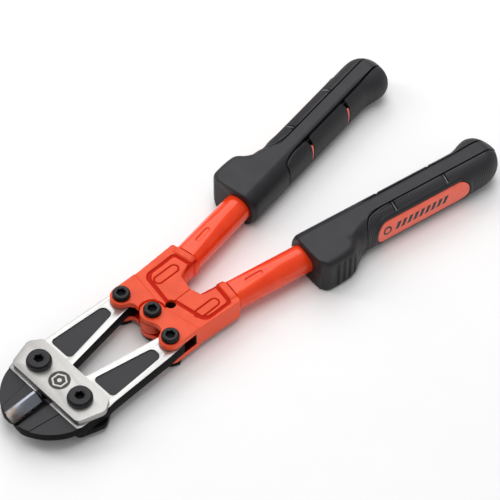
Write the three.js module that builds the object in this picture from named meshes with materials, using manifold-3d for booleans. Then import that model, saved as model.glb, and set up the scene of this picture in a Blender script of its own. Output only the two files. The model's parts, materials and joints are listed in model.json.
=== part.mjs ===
// Compound-action bolt cutters, 14 inch size, jaws closed and handles together.
// Units are millimetres. The tool lies flat: +Z is up, the jaws point along -Y, the handles along +Y.
// Everything is drawn in a working frame whose origin is midway between the two jaw pivots, at
// mid-thickness. The last lines move the finished tool so that the middle of its underside is at 0, 0, 0.

import * as THREE from 'three';
import { mergeVertices } from 'three/addons/utils/BufferGeometryUtils.js';
import Module from 'manifold-3d';

const wasm = await Module();
wasm.setup();

// ---------------------------------------------------------------- driving dimensions
const GAP = 0.3;                                   // running clearance between neighbouring pieces
const REST_Z = -12.4;                              // plane that the tool rests on

const JAW_PIVOT = { x: 18.33, y: 0 };              // right jaw's pivot; the left one is mirrored
const TAIL_PIVOT = { x: 21.88, y: 67.93 };         // where the right jaw's tail meets its handle
const CENTRE_PIVOT = { x: 0, y: 73.36 };           // where the two handles meet
const HANDLE_BASE = { x: 15.85, y: 95 };           // point on the right handle's axis, in the casting
const HANDLE_ANGLE = THREE.MathUtils.degToRad(9.67);  // each handle's axis from +Y

const JAW_HALF = 4.2;                              // half the jaws' thickness
const NOSE_HALF = 3.7;                             // half the thickness of the forged noses
const STRAP_LOW = JAW_HALF + GAP;
const STRAP_HIGH = 8.8;
const PLATE_LOW = JAW_HALF + GAP;                  // inner faces of the castings' fork plates
const PLATE_HIGH = 8.65;
const BODY_HALF = 7.8;                             // half the thickness of the castings behind the fork
const RELIEF = 0.8;                                // depth of grooves and pockets

const TAIL_LOBE = 7.1;                             // radius of the castings round a tail bolt
const CENTRE_LOBE = 7.9;                           // radius of the ears and tongue round the centre bolt
const SOCKET_ARC = 9.1;                            // hollow in the left casting, round the right one's ears
const SEAM_X = 2.75;                               // plane where the two castings stop against each other
const SEAM_END = 101.9;
const JAW_TAIL = 7.45;                             // radius of a jaw's tail
const TAIL_OVERHANG = 1.4;                         // how far the tail's round end is behind its pivot
const HEEL = JAW_PIVOT.x - 0.23;                   // radius of the jaws' heels, which roll on each other

const TUBE_R = 9.5;
const TUBE_BORE = 7.3;
const TUBE_START = 25.5;                           // stations along a handle, from HANDLE_BASE
const TUBE_END = 214;
const SPIGOT_END = 52;
const GRIP_START = 77.4;
const GRIP_END = 226.4;
const GRIP_TOP = 14.4;                             // flat spine along the top of a grip
const PANEL_DEPTH = 3;                             // thickness of the rubber panels
const PANEL_FLOOR = 1.7;                           // and their thickness on the underside
const SPINE_OUTER = 2.2;                           // the spine's two long edges, across the handle
const SPINE_INNER = -6.6;
const SLIT_STATIONS = [141.5, 181.5];                 // the two slits in each panel
const SLIT_WIDTH = 2.6;

const PIVOT_SHANK = 2.9;                           // tail and centre bolts
const JAW_SHANK = 4.5;                             // jaw bolts
const SLOT_REACH = 2.2;                            // play of the left tail bolt in the left jaw, each way

// ---------------------------------------------------------------- materials
function finish(color, roughness, metalness) {
  return () => new THREE.MeshStandardMaterial({ color, roughness, metalness });
}
const castPaint = finish(0xe8492b, 0.5, 0);
const tubePaint = finish(0xe63a1e, 0.2, 0);
const brightSteel = finish(0xd9d6d2, 0.35, 1);
const jawSteel = finish(0x6b6a6c, 0.45, 0.9);
const blackOxide = finish(0x2d2e32, 0.45, 0.6);
const gripPlastic = finish(0x414146, 0.55, 0);
const gripRubber = finish(0x333338, 0.8, 0);
const orangePlastic = finish(0xee6350, 0.4, 0);

// ---------------------------------------------------------------- shape helpers
const radians = THREE.MathUtils.degToRad;

// A closed three.js geometry as a manifold solid. Triangles that merging has folded shut are dropped.
function solid(geometry) {
  const bare = geometry.clone();
  bare.deleteAttribute('normal');
  bare.deleteAttribute('uv');
  const merged = mergeVertices(bare, 1e-4);
  const corners = merged.index.array;
  const triangles = [];
  for (let i = 0; i < corners.length; i += 3) {
    const [a, b, c] = corners.slice(i, i + 3);
    if (a !== b && b !== c && c !== a) {
      triangles.push(a, b, c);
    }
  }
  return new wasm.Manifold(new wasm.Mesh({
    numProp: 3,
    vertProperties: merged.attributes.position.array,
    triVerts: new Uint32Array(triangles),
  }));
}

// A manifold solid as a three.js geometry.
function geometryOf(body) {
  const mesh = body.getMesh();
  const geometry = new THREE.BufferGeometry();
  geometry.setAttribute('position', new THREE.BufferAttribute(mesh.vertProperties, mesh.numProp));
  geometry.setIndex(new THREE.BufferAttribute(mesh.triVerts, 1));
  geometry.computeVertexNormals();
  return geometry;
}

function joined(bodies) {
  return bodies.reduce((all, body) => all.add(body));
}

// The same solid on the other side of the plane x = 0.
function mirrored(body) {
  return body.mirror([1, 0, 0]);
}

// An outline in X and Y, extruded from z = low to z = high.
function plate(shape, low, high, curveSegments = 5) {
  const options = { depth: high - low, bevelEnabled: false, curveSegments };
  const geometry = new THREE.ExtrudeGeometry(shape, options);
  geometry.translate(0, 0, low);
  return solid(geometry);
}

// The same, with its edges chamfered top and bottom.
function chamferedPlate(shape, low, high, chamfer, curveSegments) {
  const options = {
    depth: high - low - 2 * chamfer,
    bevelThickness: chamfer,
    bevelSize: chamfer,
    bevelOffset: -chamfer,
    bevelSegments: 1,
    curveSegments,
  };
  const geometry = new THREE.ExtrudeGeometry(shape, options);
  geometry.translate(0, 0, low + chamfer);
  return solid(geometry);
}

// The same outline on both sides of the mid-plane, from |z| = low to |z| = high.
function plates(shape, low, high, curveSegments) {
  const upper = plate(shape, low, high, curveSegments);
  return upper.add(plate(shape, -high, -low, curveSegments));
}

// A polygon with rounded corners. Each corner is [x, y, radius].
function rounded(corners) {
  const shape = new THREE.Shape();
  corners.forEach(([x, y, radius = 0], i) => {
    const corner = new THREE.Vector2(x, y);
    const before = new THREE.Vector2(...corners.at(i - 1)).sub(corner);
    const after = new THREE.Vector2(...corners[(i + 1) % corners.length]).sub(corner);
    const half = Math.abs(before.angleTo(after)) / 2;
    const reach = radius / Math.tan(half);
    const start = corner.clone().addScaledVector(before.normalize(), reach);
    const end = corner.clone().addScaledVector(after.normalize(), reach);
    if (i === 0) {
      shape.moveTo(start.x, start.y);
    } else {
      shape.lineTo(start.x, start.y);
    }
    if (radius > 0) {
      const bisector = before.clone().add(after).normalize();
      const centre = corner.clone().addScaledVector(bisector, radius / Math.sin(half));
      const from = start.clone().sub(centre).angle();
      const to = end.clone().sub(centre).angle();
      const clockwise = before.cross(after) > 0;
      shape.absarc(centre.x, centre.y, radius, from, to, clockwise);
    }
  });
  return shape;
}

function disc(centre, radius) {
  const shape = new THREE.Shape();
  shape.absarc(centre.x, centre.y, radius, 0, 2 * Math.PI, false);
  return shape;
}

function rectangle(x0, y0, x1, y1) {
  return rounded([[x0, y0], [x1, y0], [x1, y1], [x0, y1]]);
}

// A slot with round ends, its length along Y.
function obround(x, y, halfLength, halfWidth) {
  const shape = new THREE.Shape();
  const reach = halfLength - halfWidth;
  shape.absarc(x, y + reach, halfWidth, 0, Math.PI, false);
  shape.absarc(x, y - reach, halfWidth, Math.PI, 2 * Math.PI, false);
  return shape;
}

// A profile of [radius, z] points turned about the Z axis.
function turned(profile, segments = 24) {
  const points = profile.map(([radius, z]) => new THREE.Vector2(radius, z));
  const geometry = new THREE.LatheGeometry(points, segments);
  geometry.rotateX(Math.PI / 2);
  return solid(geometry);
}

// A ring about the handle's axis (Y) from station y0 to y1; bore 0 makes a rod.
function roundBar(radius, bore, y0, y1, segments = 36) {
  const profile = bore > 0
    ? [[bore, y0], [radius, y0], [radius, y1], [bore, y1], [bore, y0]]
    : [[0, y0], [radius, y0], [radius, y1], [0, y1]];
  const points = profile.map(([r, y]) => new THREE.Vector2(r, y));
  return solid(new THREE.LatheGeometry(points, segments));
}

// A hexagon across flats, centred on the origin.
function hexagon(acrossFlats) {
  const shape = new THREE.Shape();
  const radius = acrossFlats / Math.sqrt(3);
  for (let i = 0; i < 6; i += 1) {
    const angle = (i * Math.PI) / 3;
    const point = [radius * Math.cos(angle), radius * Math.sin(angle)];
    if (i === 0) {
      shape.moveTo(...point);
    } else {
      shape.lineTo(...point);
    }
  }
  return shape;
}

// A closed skin over rings of points that all have the same number of points. The rings follow
// each other along +Y, and each runs from +X towards +Z.
function loft(rings) {
  const count = rings[0].length;
  const positions = rings.flat(2);
  const indices = [];
  for (let k = 0; k < rings.length - 1; k += 1) {
    for (let i = 0; i < count; i += 1) {
      const a = k * count + i;
      const b = k * count + ((i + 1) % count);
      indices.push(a, a + count, b, b, a + count, b + count);
    }
  }
  const last = (rings.length - 1) * count;
  for (let i = 1; i < count - 1; i += 1) {
    indices.push(0, i, i + 1);
    indices.push(last, last + i + 1, last + i);
  }
  const geometry = new THREE.BufferGeometry();
  geometry.setAttribute('position', new THREE.Float32BufferAttribute(positions, 3));
  geometry.setIndex(indices);
  const body = solid(geometry);
  if (body.volume() > 0) {
    return body;
  }
  throw new Error('a loft is inside out');
}

// One ring of a loft: a superellipse with its own reach and squareness to each side, cut off level
// at the top and at the bottom. Its outer side can be swept back along Y.
function ring(spec, count) {
  const { y, outer, inner, top, bottom, power, innerPower, highest, lowest, sweep = 0 } = spec;
  const points = [];
  for (let i = 0; i < count; i += 1) {
    const angle = (2 * Math.PI * (i + 0.5)) / count;
    const [cos, sin] = [Math.cos(angle), Math.sin(angle)];
    const exponent = 2 / (cos > 0 ? power : innerPower);
    const x = Math.sign(cos) * Math.abs(cos) ** exponent * (cos > 0 ? outer : inner);
    const z = Math.sign(sin) * Math.abs(sin) ** exponent * (sin > 0 ? top : bottom);
    const back = sweep * Math.max(0, x / outer) ** 2;
    points.push([x, y + back, Math.min(Math.max(z, lowest), highest)]);
  }
  return points;
}

// ---------------------------------------------------------------- head: straps, jaws, jaw bolts
const STRAP_OUTLINE = [
  [29.4, -12.1, 4], [34.9, 5.2, 5], [29.6, 12.8, 2.5],
  [-29.6, 12.8, 2.5], [-34.9, 5.2, 5], [-29.4, -12.1, 4],
];

function strap(low, high) {
  const body = plate(rounded(STRAP_OUTLINE), low, high);
  const hole = disc(JAW_PIVOT, JAW_SHANK + GAP);
  const holes = plate(hole, low - 1, high + 1, 12);
  return body.subtract(holes).subtract(mirrored(holes));
}

// Plan of the right jaw: nose, cutting edge, heel, arm and tail.
function jawPlan() {
  const shape = new THREE.Shape();
  const edgeX = 0.35;
  const heelAngle = Math.asin(10.5 / HEEL);
  shape.moveTo(edgeX, -36.5);
  shape.lineTo(7.6, -36.5);
  shape.quadraticCurveTo(12.8, -35.2, 19.4, -30.2);
  shape.quadraticCurveTo(26.8, -23.8, 29.8, -16);
  shape.lineTo(31.6, -10);
  shape.lineTo(32.2, 8);
  shape.lineTo(31.3, 15);
  shape.lineTo(30, 60);
  shape.lineTo(TAIL_PIVOT.x + JAW_TAIL, TAIL_PIVOT.y);
  shape.absarc(TAIL_PIVOT.x, TAIL_PIVOT.y + TAIL_OVERHANG, JAW_TAIL, 0, Math.PI, false);
  shape.lineTo(TAIL_PIVOT.x - JAW_TAIL, TAIL_PIVOT.y - 3);
  shape.lineTo(6.1, 15.8);
  shape.absarc(JAW_PIVOT.x, JAW_PIVOT.y, HEEL, Math.PI - heelAngle, Math.PI + heelAngle, false);
  shape.lineTo(edgeX + 1.6, -12.9);
  shape.lineTo(edgeX, -13.4);
  return shape;
}

// The wedge that is cut off above one side's cutting edge: from the bevel's top line, 6 mm out,
// down to a thin land at the mid-plane.
function bevelCut() {
  const section = rounded([[-2, 0.45], [0.35, 0.45], [6.1, NOSE_HALF], [6.1, 6], [-2, 6]]);
  const body = solid(new THREE.ExtrudeGeometry(section, { depth: 27, bevelEnabled: false }));
  const above = body.rotate([90, 0, 0]).translate([0, -13.4, 0]);
  return above.add(above.mirror([0, 0, 1]));
}

const JAW_POCKET = [
  [10, 16.3, 3], [28.2, 16.3, 3], [26.2, 57, 4], [17.8, 57, 3.5],
];

// Slanted facets on each side of the nose's raised middle.
const NOSE_FACET = [[15.2, -13.5], [14.2, -19.5], [11.5, -40], [40, -40], [40, -13.5]];

// What is cut away in front of the strap: the nose is thinner, and chamfered above and below.
function noseCut() {
  const room = plate(rectangle(-1, -40, 40, -13.5), -10, 10);
  const lower = chamferedPlate(jawPlan(), -NOSE_HALF, 20, 1.7, 9);
  const upper = chamferedPlate(jawPlan(), -20, NOSE_HALF, 0.6, 9);
  return room.subtract(lower.intersect(upper));
}

function jaw(hasSlot) {
  const facets = plates(rounded(NOSE_FACET), NOSE_HALF - 0.35, JAW_HALF + 1);
  const pockets = plates(rounded(JAW_POCKET), JAW_HALF - RELIEF, JAW_HALF + 1, 4);
  const pivotHole = plate(disc(JAW_PIVOT, JAW_SHANK + GAP), -6, 6, 12);
  const tailHole = plate(disc(TAIL_PIVOT, PIVOT_SHANK + GAP), -6, 6, 10);
  const slot = [-1, -0.5, 0.5, 1].map((share) => {
    const centre = { x: TAIL_PIVOT.x + share * SLOT_REACH, y: TAIL_PIVOT.y };
    return plate(disc(centre, PIVOT_SHANK + 2 * GAP), -6, 6, 10);
  });
  const body = plate(jawPlan(), -JAW_HALF, JAW_HALF, 9);
  const cuts = [noseCut(), facets, bevelCut(), pockets, pivotHole, tailHole];
  return body.subtract(joined(hasSlot ? cuts.concat(slot) : cuts));
}

// A socket-head bolt about Z: its head stands on z = seat, and its shank reaches down to z = tip.
function bolt({ seat, headProfile, shank, tip, socket, socketDepth }) {
  const top = headProfile.at(-1)[1];
  const profile = [[0, tip], [shank - 0.4, tip], [shank, tip + 0.4], [shank, seat]];
  const body = turned([...profile, ...headProfile, [0, top]]);
  return body.subtract(plate(hexagon(socket), top - socketDepth, top + 1));
}

function jawBolt() {
  const seat = STRAP_HIGH + GAP;
  const head = [[7.8, seat], [7.8, seat + 2.3], [6.9, seat + 2.9], [6.6, seat + 3.4], [6.1, seat + 3.7]];
  return bolt({
    seat, headProfile: head, shank: JAW_SHANK, tip: REST_Z + 0.2, socket: 5, socketDepth: 2.4,
  });
}

function pivotBolt() {
  const seat = PLATE_HIGH + GAP;
  const head = [[5.6, seat], [5.6, seat + 1.9], [5.3, seat + 2.7], [4.6, seat + 3.2]];
  return bolt({
    seat, headProfile: head, shank: PIVOT_SHANK, tip: REST_Z + 0.2, socket: 5, socketDepth: 2.2,
  });
}

// A nut under the tool, round a bolt's shank.
function nut(outline, bore, top) {
  const body = plate(outline, REST_Z, top, 12);
  return body.subtract(plate(disc({ x: 0, y: 0 }, bore + GAP), REST_Z - 1, top + 1, 12));
}

// ---------------------------------------------------------------- castings
// The raised shapes are set over to the right on both castings, as the seam is.
const SIDES = {
  right: { sign: 1, padShift: 2.3, grooveShift: [2.3, 1.2] },
  left: { sign: -1, padShift: -2.3, grooveShift: [-0.8, -2] },
};

// Point on the right handle's axis frame, as [x, y]: along the axis, and outward from it.
function handlePoint(along, outward) {
  const sin = Math.sin(HANDLE_ANGLE);
  const cos = Math.cos(HANDLE_ANGLE);
  return [HANDLE_BASE.x + along * sin + outward * cos, HANDLE_BASE.y + along * cos - outward * sin];
}

// Where the collar before the tube starts and ends, along the handle.
const COLLAR_START = 19.9;
const COLLAR_END = 24.9;

// The outer side and the rear of a casting, drawn for the right hand, from the tail to the seam.
function rearOutline(shape, stopX) {
  shape.lineTo(TAIL_PIVOT.x + TAIL_LOBE, TAIL_PIVOT.y + 5);
  shape.lineTo(28.8, 86);
  shape.lineTo(...handlePoint(COLLAR_END - 2.2, 10.9));
  shape.quadraticCurveTo(...handlePoint(COLLAR_END, 10.9), ...handlePoint(COLLAR_END, 8.7));
  shape.lineTo(...handlePoint(COLLAR_END, -5.2));
  const inner = stopX > 0 ? -6.9 : -9.4;
  shape.lineTo(...handlePoint(11, inner + 1.3));
  shape.quadraticCurveTo(...handlePoint(8.6, inner + 1.1), ...handlePoint(7.8, inner));
  shape.lineTo(stopX, SEAM_END);
}

// The tail lobe starts here, at its inner front.
const LOBE_START = radians(200);
const LOBE_START_X = TAIL_PIVOT.x + TAIL_LOBE * Math.cos(LOBE_START);
const LOBE_START_Y = TAIL_PIVOT.y + TAIL_LOBE * Math.sin(LOBE_START);

// Fork plates of the right casting: tail lobe, body, and the ear round the centre bolt.
function rightPlatePlan() {
  const shape = new THREE.Shape();
  shape.absarc(TAIL_PIVOT.x, TAIL_PIVOT.y, TAIL_LOBE, LOBE_START, 2 * Math.PI, false);
  const stopX = SEAM_X + GAP / 2;
  rearOutline(shape, stopX);
  const meeting = Math.acos(stopX / CENTRE_LOBE);
  shape.absarc(CENTRE_PIVOT.x, CENTRE_PIVOT.y, CENTRE_LOBE, meeting, radians(300), false);
  const [x, y] = [LOBE_START_X, LOBE_START_Y];
  shape.bezierCurveTo(x - 5.5, y + 4.2, x - 1.4, y + 3.8, x, y);
  return shape;
}

// Fork plates of the left casting, drawn for the right hand: the ear's place is a hollow arc.
function leftPlatePlan() {
  const shape = new THREE.Shape();
  const stopX = GAP / 2 - SEAM_X;
  shape.absarc(TAIL_PIVOT.x, TAIL_PIVOT.y, TAIL_LOBE, LOBE_START, 2 * Math.PI, false);
  rearOutline(shape, stopX);
  const meeting = Math.acos(stopX / SOCKET_ARC);
  shape.absarc(CENTRE_PIVOT.x, CENTRE_PIVOT.y, SOCKET_ARC, meeting, radians(-28), true);
  const [x, y] = [LOBE_START_X, LOBE_START_Y];
  shape.bezierCurveTo(x - 4.5, y + 4.2, x - 1.4, y + 3.8, x, y);
  return shape;
}

// Middle layer behind the jaw's slot, which is open to the front and to the outer side.
const SLOT_END = 82;
const TAIL_SWEEP = JAW_TAIL + TAIL_OVERHANG + SLOT_REACH + GAP;  // room for the left jaw's tail

function middlePlan(stopX, front) {
  const shape = new THREE.Shape();
  shape.moveTo(...front);
  shape.lineTo(TAIL_PIVOT.x + TAIL_LOBE - 0.5, SLOT_END);
  rearOutline(shape, stopX);
  return shape;
}

// Everything behind the step line is this much thinner than the fork plates.
function rearStep() {
  const behind = rounded([[-12, 78.2], [40, 86.6], [40, 160], [-12, 160]]);
  return plates(behind, BODY_HALF, PLATE_HIGH + 2);
}

// The groove round a raised platform: behind the step, down the outer side, and before the collar.
function platformGroove([dx, dy]) {
  const rearY = (x, inset) => {
    const along = COLLAR_START - inset - (x - HANDLE_BASE.x) * Math.sin(HANDLE_ANGLE);
    return HANDLE_BASE.y + along / Math.cos(HANDLE_ANGLE);
  };
  const edge = (inset) => [
    [-6, 84.9 + dy + inset], [22.3 + dx - inset, 89.6 + dy + inset, 4 - inset],
    [25.2 + dx - inset, 92.6 + dy + inset, 4 - inset],
    [25.6 + dx - inset, rearY(25.6 + dx - inset, inset), 3 - inset / 2],
    [-6, rearY(-6, inset)],
  ];
  const outer = plates(rounded(edge(0)), BODY_HALF - RELIEF, PLATE_HIGH + 2, 3);
  const inner = plates(rounded(edge(2.3)), BODY_HALF - RELIEF - 1, PLATE_HIGH + 3, 3);
  return outer.subtract(inner);
}

// A slot-shaped groove round a raised pad.
function padGroove(shift) {
  const x = 18 + shift;
  const outer = plates(obround(x, 99, 9.6, 3.5), BODY_HALF - RELIEF, PLATE_HIGH + 2, 5);
  const inner = plates(obround(x, 99, 8.6, 2.5), BODY_HALF - RELIEF - 1, PLATE_HIGH + 3, 5);
  return outer.subtract(inner);
}

// A cross-section of the neck, in the handle's own frame, flat above and below at z = ±flat.
function neckSection(y, half, height, power, flat) {
  const sides = { outer: half, inner: half, power, innerPower: power };
  return ring({ y, top: height, bottom: height, highest: flat, lowest: -flat, ...sides }, 26);
}

// Neck that carries the casting's flat faces back to the collar.
function neck() {
  return loft([4, COLLAR_START + 1].map((y) => neckSection(y, 9.7, 8.7, 2.8, BODY_HALF)));
}

// Collar before the tube, and the flattened spigot inside it.
function collar() {
  const stations = [[COLLAR_START, -0.6], [20.5, 0], [24.3, 0], [COLLAR_END, -0.6]];
  const bead = loft(stations.map(([y, out]) => neckSection(y, 10.7 + out, 9.5 + out, 2.5, 8.8 + out)));
  const spigot = roundBar(TUBE_BORE - GAP, 0, 20, SPIGOT_END, 16);
  const flats = plate(rectangle(-20, 15, 20, SPIGOT_END + 1), -6.2, 6.2);
  return bead.add(spigot.intersect(flats));
}

function inHandleFrame(body) {
  const turnedBody = body.rotate([0, 0, -THREE.MathUtils.radToDeg(HANDLE_ANGLE)]);
  return turnedBody.translate([HANDLE_BASE.x, HANDLE_BASE.y, 0]);
}

// Both castings are built as right-hand ones; the left casting is mirrored afterwards.
function casting(side) {
  const isRight = side === 'right';
  const seam = isRight ? SEAM_X : -SEAM_X;
  const stopX = seam + GAP / 2;
  const plateShape = isRight ? rightPlatePlan() : leftPlatePlan();
  const fork = plates(plateShape, PLATE_LOW, PLATE_HIGH, 6);
  const middleFront = isRight ? [stopX, SLOT_END] : [stopX, SLOT_END - 1.5];
  const slotMouth = plate(rectangle(TAIL_PIVOT.x - 6, 60, 40, SLOT_END), -6, 6);
  const layer = (front, half) => plate(middlePlan(stopX, front), -half, half).subtract(slotMouth);
  let middle = layer(middleFront, PLATE_LOW + 0.1);
  let body = fork;
  if (isRight) {
    const tongueRoom = plate(disc(CENTRE_PIVOT, CENTRE_LOBE + 0.6), -PLATE_LOW, PLATE_LOW, 12);
    body = body.add(middle).subtract(tongueRoom);
  } else {
    middle = layer(middleFront, JAW_HALF);
    const root = layer([stopX, 82.6], PLATE_LOW + 0.1);
    const arcRoom = plate(disc(CENTRE_PIVOT, SOCKET_ARC), -9, 9, 14);
    const tongue = plate(disc(CENTRE_PIVOT, CENTRE_LOBE), -JAW_HALF, JAW_HALF, 12);
    const webPlan = rounded([[0, 66.5], [7.4, 70.6], [13.8, 78], [15, 83.5], [0, 83.5]]);
    const web = plate(webPlan, -JAW_HALF, JAW_HALF);
    const tailRoom = plate(disc(TAIL_PIVOT, TAIL_SWEEP), -PLATE_LOW, PLATE_LOW, 12);
    body = body.add(root).add(middle.subtract(tailRoom)).subtract(arcRoom);
    body = joined([body, tongue, web.subtract(tailRoom), middle.subtract(tailRoom)]);
  }
  const { padShift, grooveShift } = SIDES[side];
  const boltHole = plate(disc(TAIL_PIVOT, PIVOT_SHANK + GAP), -20, 20, 8);
  const centreHole = plate(disc(CENTRE_PIVOT, PIVOT_SHANK + GAP), -20, 20, 8);
  const reliefX = isRight ? SEAM_X + 0.3 : -SEAM_X - 0.3;
  const relief = plate(disc({ x: reliefX, y: 85.4 }, 3.3), -20, 20, 8);
  body = body.subtract(rearStep()).add(inHandleFrame(neck()));
  body = body.subtract(joined([platformGroove(grooveShift), padGroove(padShift)]));
  return body.add(inHandleFrame(collar())).subtract(joined([boltHole, centreHole, relief]));
}

// ---------------------------------------------------------------- handles, in the handle frame
// X is outward from the tool, Y runs along the handle, Z is up.
function tube() {
  const flatEnd = 58;
  const flatHalf = 8.3;
  const keep = new THREE.Shape();
  keep.moveTo(TUBE_START - 1, -flatHalf);
  keep.lineTo(flatEnd, -TUBE_R - 0.1);
  keep.lineTo(TUBE_END + 1, -TUBE_R - 0.1);
  keep.lineTo(TUBE_END + 1, TUBE_R + 0.1);
  keep.lineTo(flatEnd, TUBE_R + 0.1);
  keep.lineTo(TUBE_START - 1, flatHalf);
  const slab = solid(new THREE.ExtrudeGeometry(keep, { depth: 40, bevelEnabled: false }));
  const wedge = slab.translate([0, 0, -20]).rotate([90, 0, 90]);
  const dimples = plates(obround(0, 41.4, 6.3, 1.6), 7.9, 12, 5);
  const body = roundBar(TUBE_R, TUBE_BORE, TUBE_START, TUBE_END, 32);
  return body.intersect(wedge).subtract(dimples);
}

// Stations of a grip: [along, outer half width, inner half width, outer squareness, sweep].
const GRIP_STATIONS = [
  [GRIP_START, 19.6, 12.2, 7, 1.2], [78.9, 21.6, 13.3, 8, 1.1], [82.5, 22.8, 13.6, 8, 0.7],
  [88, 22.9, 13.6, 8, 0.2], [94, 22.7, 13.6, 7.5, 0], [100, 22.2, 13.6, 6.5, 0],
  [104, 21.1, 13.6, 5, 0], [108, 18.5, 13.6, 3.8, 0], [112, 15.9, 13.6, 3.2, 0],
  [116, 14.5, 13.6, 2.8, 0], [121, 13.7, 13.6, 2.45, 0], [140, 13.6, 13.6, 2.3, 0],
  [185, 13.6, 13.6, 2.3, 0], [200, 13.7, 13.7, 2.3, 0], [205.5, 13.8, 15.2, 2.3, 0],
  [210.5, 13.8, 17.3, 2.3, 0], [215.5, 13.3, 18.5, 2.3, 0], [219.5, 11.9, 17.8, 2.3, 0],
  [223, 9.7, 15.8, 2.3, 0], [225.2, 7.4, 13, 2.3, 0], [GRIP_END, 4.5, 9.7, 2.3, 0],
];
const INNER_SQUARENESS = 2.35;
const TOP_ROUNDING_START = 214;
const UNDERSIDE_ROUNDING_START = 201;

// The grip's skin moved inwards by inset, and by floor on the underside.
function gripSkin(inset, floor = inset, count = 24) {
  const rings = GRIP_STATIONS.map(([along, outer, inner, power, sweep], i) => {
    const past = (start) => Math.max(0, along - start) / (GRIP_END - start);
    const top = 15 * (1 - 0.42 * past(TOP_ROUNDING_START) ** 2.2);
    const bottom = 14.2 * (1 - 0.5 * past(UNDERSIDE_ROUNDING_START) ** 1.6);
    const frontDrop = i === 0 ? 1 : 0;
    const station = i === 0 ? along + inset : Math.min(along, GRIP_END - inset);
    return ring({
      y: Math.max(station, GRIP_START + inset + i * 0.01),
      outer: outer - inset,
      inner: inner - inset,
      top: top - inset - frontDrop,
      bottom: bottom - floor - frontDrop,
      power,
      innerPower: INNER_SQUARENESS,
      highest: GRIP_TOP - inset - frontDrop,
      lowest: REST_Z + floor + frontDrop,
      sweep,
    }, count);
  });
  const apart = rings.filter((points, i) => i === 0 || points[0][1] - rings[i - 1][0][1] > 0.3);
  return loft(apart);
}

// Grooves across the outer side of the guard.
const GUARD_GROOVES = [88.8, 93.3, 97.8, 102.3];

function guardGrooves() {
  const bands = joined(GUARD_GROOVES.map((at) => plate(rectangle(8, at - 0.65, 30, at + 0.65), -9, 9.5)));
  return bands.subtract(gripSkin(RELIEF));
}

// Plan of a rubber panel's place, shrunk by margin. It starts behind the guard, sweeps in to the
// spine's edge and follows it to the end.
function panelPlan(side, margin) {
  const spine = side === 'outer' ? SPINE_OUTER : -SPINE_INNER;
  const [corner, start] = side === 'outer' ? [124, 111.5] : [116.5, 113];
  const shape = new THREE.Shape();
  shape.moveTo(spine + margin, 240);
  shape.lineTo(spine + margin, 140);
  shape.quadraticCurveTo(spine + margin, corner + 5 + margin, spine + 2.6 + margin, corner + margin);
  const bend = side === 'outer' ? start + 4.5 : start + 1.5;
  shape.quadraticCurveTo(10.5, bend + margin, 30, start + 1 + margin);
  shape.lineTo(30, 240);
  return shape;
}

function panelPrism(side, margin) {
  const prism = plate(panelPlan(side, margin), -30, 30, 5);
  return side === 'outer' ? prism : mirrored(prism);
}

// The label insert's outline, seen from the outer side: Y along the handle, Z up.
function labelPrism(margin) {
  const [y0, y1] = [126 - margin, 198 + margin];
  const [z0, z1] = [-8.8 - margin, 9.4 + margin];
  const outline = rounded([[y0, z0, 8.5], [y1, z0, 7.5], [y1, z1, 7.5], [y0, z1, 8.5]]);
  const options = { depth: 30, bevelEnabled: false, curveSegments: 4 };
  return solid(new THREE.ExtrudeGeometry(outline, options)).rotate([90, 0, 90]);
}

// A band across the inner side at a slit's station.
function slitBand(station, width, low, high) {
  return plate(rectangle(-30, station - width / 2, -6, station + width / 2), low, high);
}

const SLIT_LOW = -8.5;
const SLIT_HIGH = 9.5;
const STRIP_HIGH = 8.4;                            // top of the orange strip at the bottom of a slit

function gripParts() {
  const skin = gripSkin(0);
  const core = gripSkin(PANEL_DEPTH, PANEL_FLOOR);
  const coreRoom = gripSkin(PANEL_DEPTH - GAP, PANEL_FLOOR - GAP);
  const places = panelPrism('outer', 0).add(panelPrism('inner', 0));
  const bore = roundBar(TUBE_R + GAP, 0, GRIP_START - 1, TUBE_END + 0.5, 24);
  const slits = joined(SLIT_STATIONS.map((at) => slitBand(at, SLIT_WIDTH, SLIT_LOW, SLIT_HIGH)));
  const panelStock = skin.subtract(coreRoom);
  const stripWidth = SLIT_WIDTH - 2 * GAP;
  const stripSkin = gripSkin(0.5).subtract(coreRoom);
  const strip = (at) => stripSkin.intersect(slitBand(at, stripWidth, SLIT_LOW + GAP, STRIP_HIGH));
  return {
    core: skin.subtract(guardGrooves()).subtract(places).add(core).subtract(bore),
    panel_outer: panelStock.intersect(panelPrism('outer', 0.5)).subtract(labelPrism(GAP)),
    panel_inner: panelStock.intersect(panelPrism('inner', 0.5)).subtract(slits),
    label_insert: gripSkin(0.4).intersect(labelPrism(0)).subtract(coreRoom),
    accent_strip_front: strip(SLIT_STATIONS[0]),
    accent_strip_rear: strip(SLIT_STATIONS[1]),
  };
}

// ---------------------------------------------------------------- assembly
const tool = new THREE.Group();

function place(parent, name, body, material, x = 0, y = 0) {
  const mesh = new THREE.Mesh(geometryOf(body), material());
  mesh.name = name;
  mesh.position.set(x, y, 0);
  parent.add(mesh);
}

place(tool, 'strap_top', strap(STRAP_LOW, STRAP_HIGH), brightSteel);
place(tool, 'strap_bottom', strap(-STRAP_HIGH, -STRAP_LOW), brightSteel);

const gripMaterials = {
  core: gripPlastic,
  panel_outer: gripRubber,
  panel_inner: gripRubber,
  label_insert: orangePlastic,
  accent_strip_front: orangePlastic,
  accent_strip_rear: orangePlastic,
};
const gripPieces = gripParts();
const tubeBody = tube();
const jawBoltBody = jawBolt();
const jawNutBody = nut(disc({ x: 0, y: 0 }, 7.8), JAW_SHANK, -STRAP_HIGH - GAP);
const pivotBoltBody = pivotBolt();
const pivotNutBody = nut(hexagon(13), PIVOT_SHANK, -PLATE_HIGH - GAP);

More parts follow.
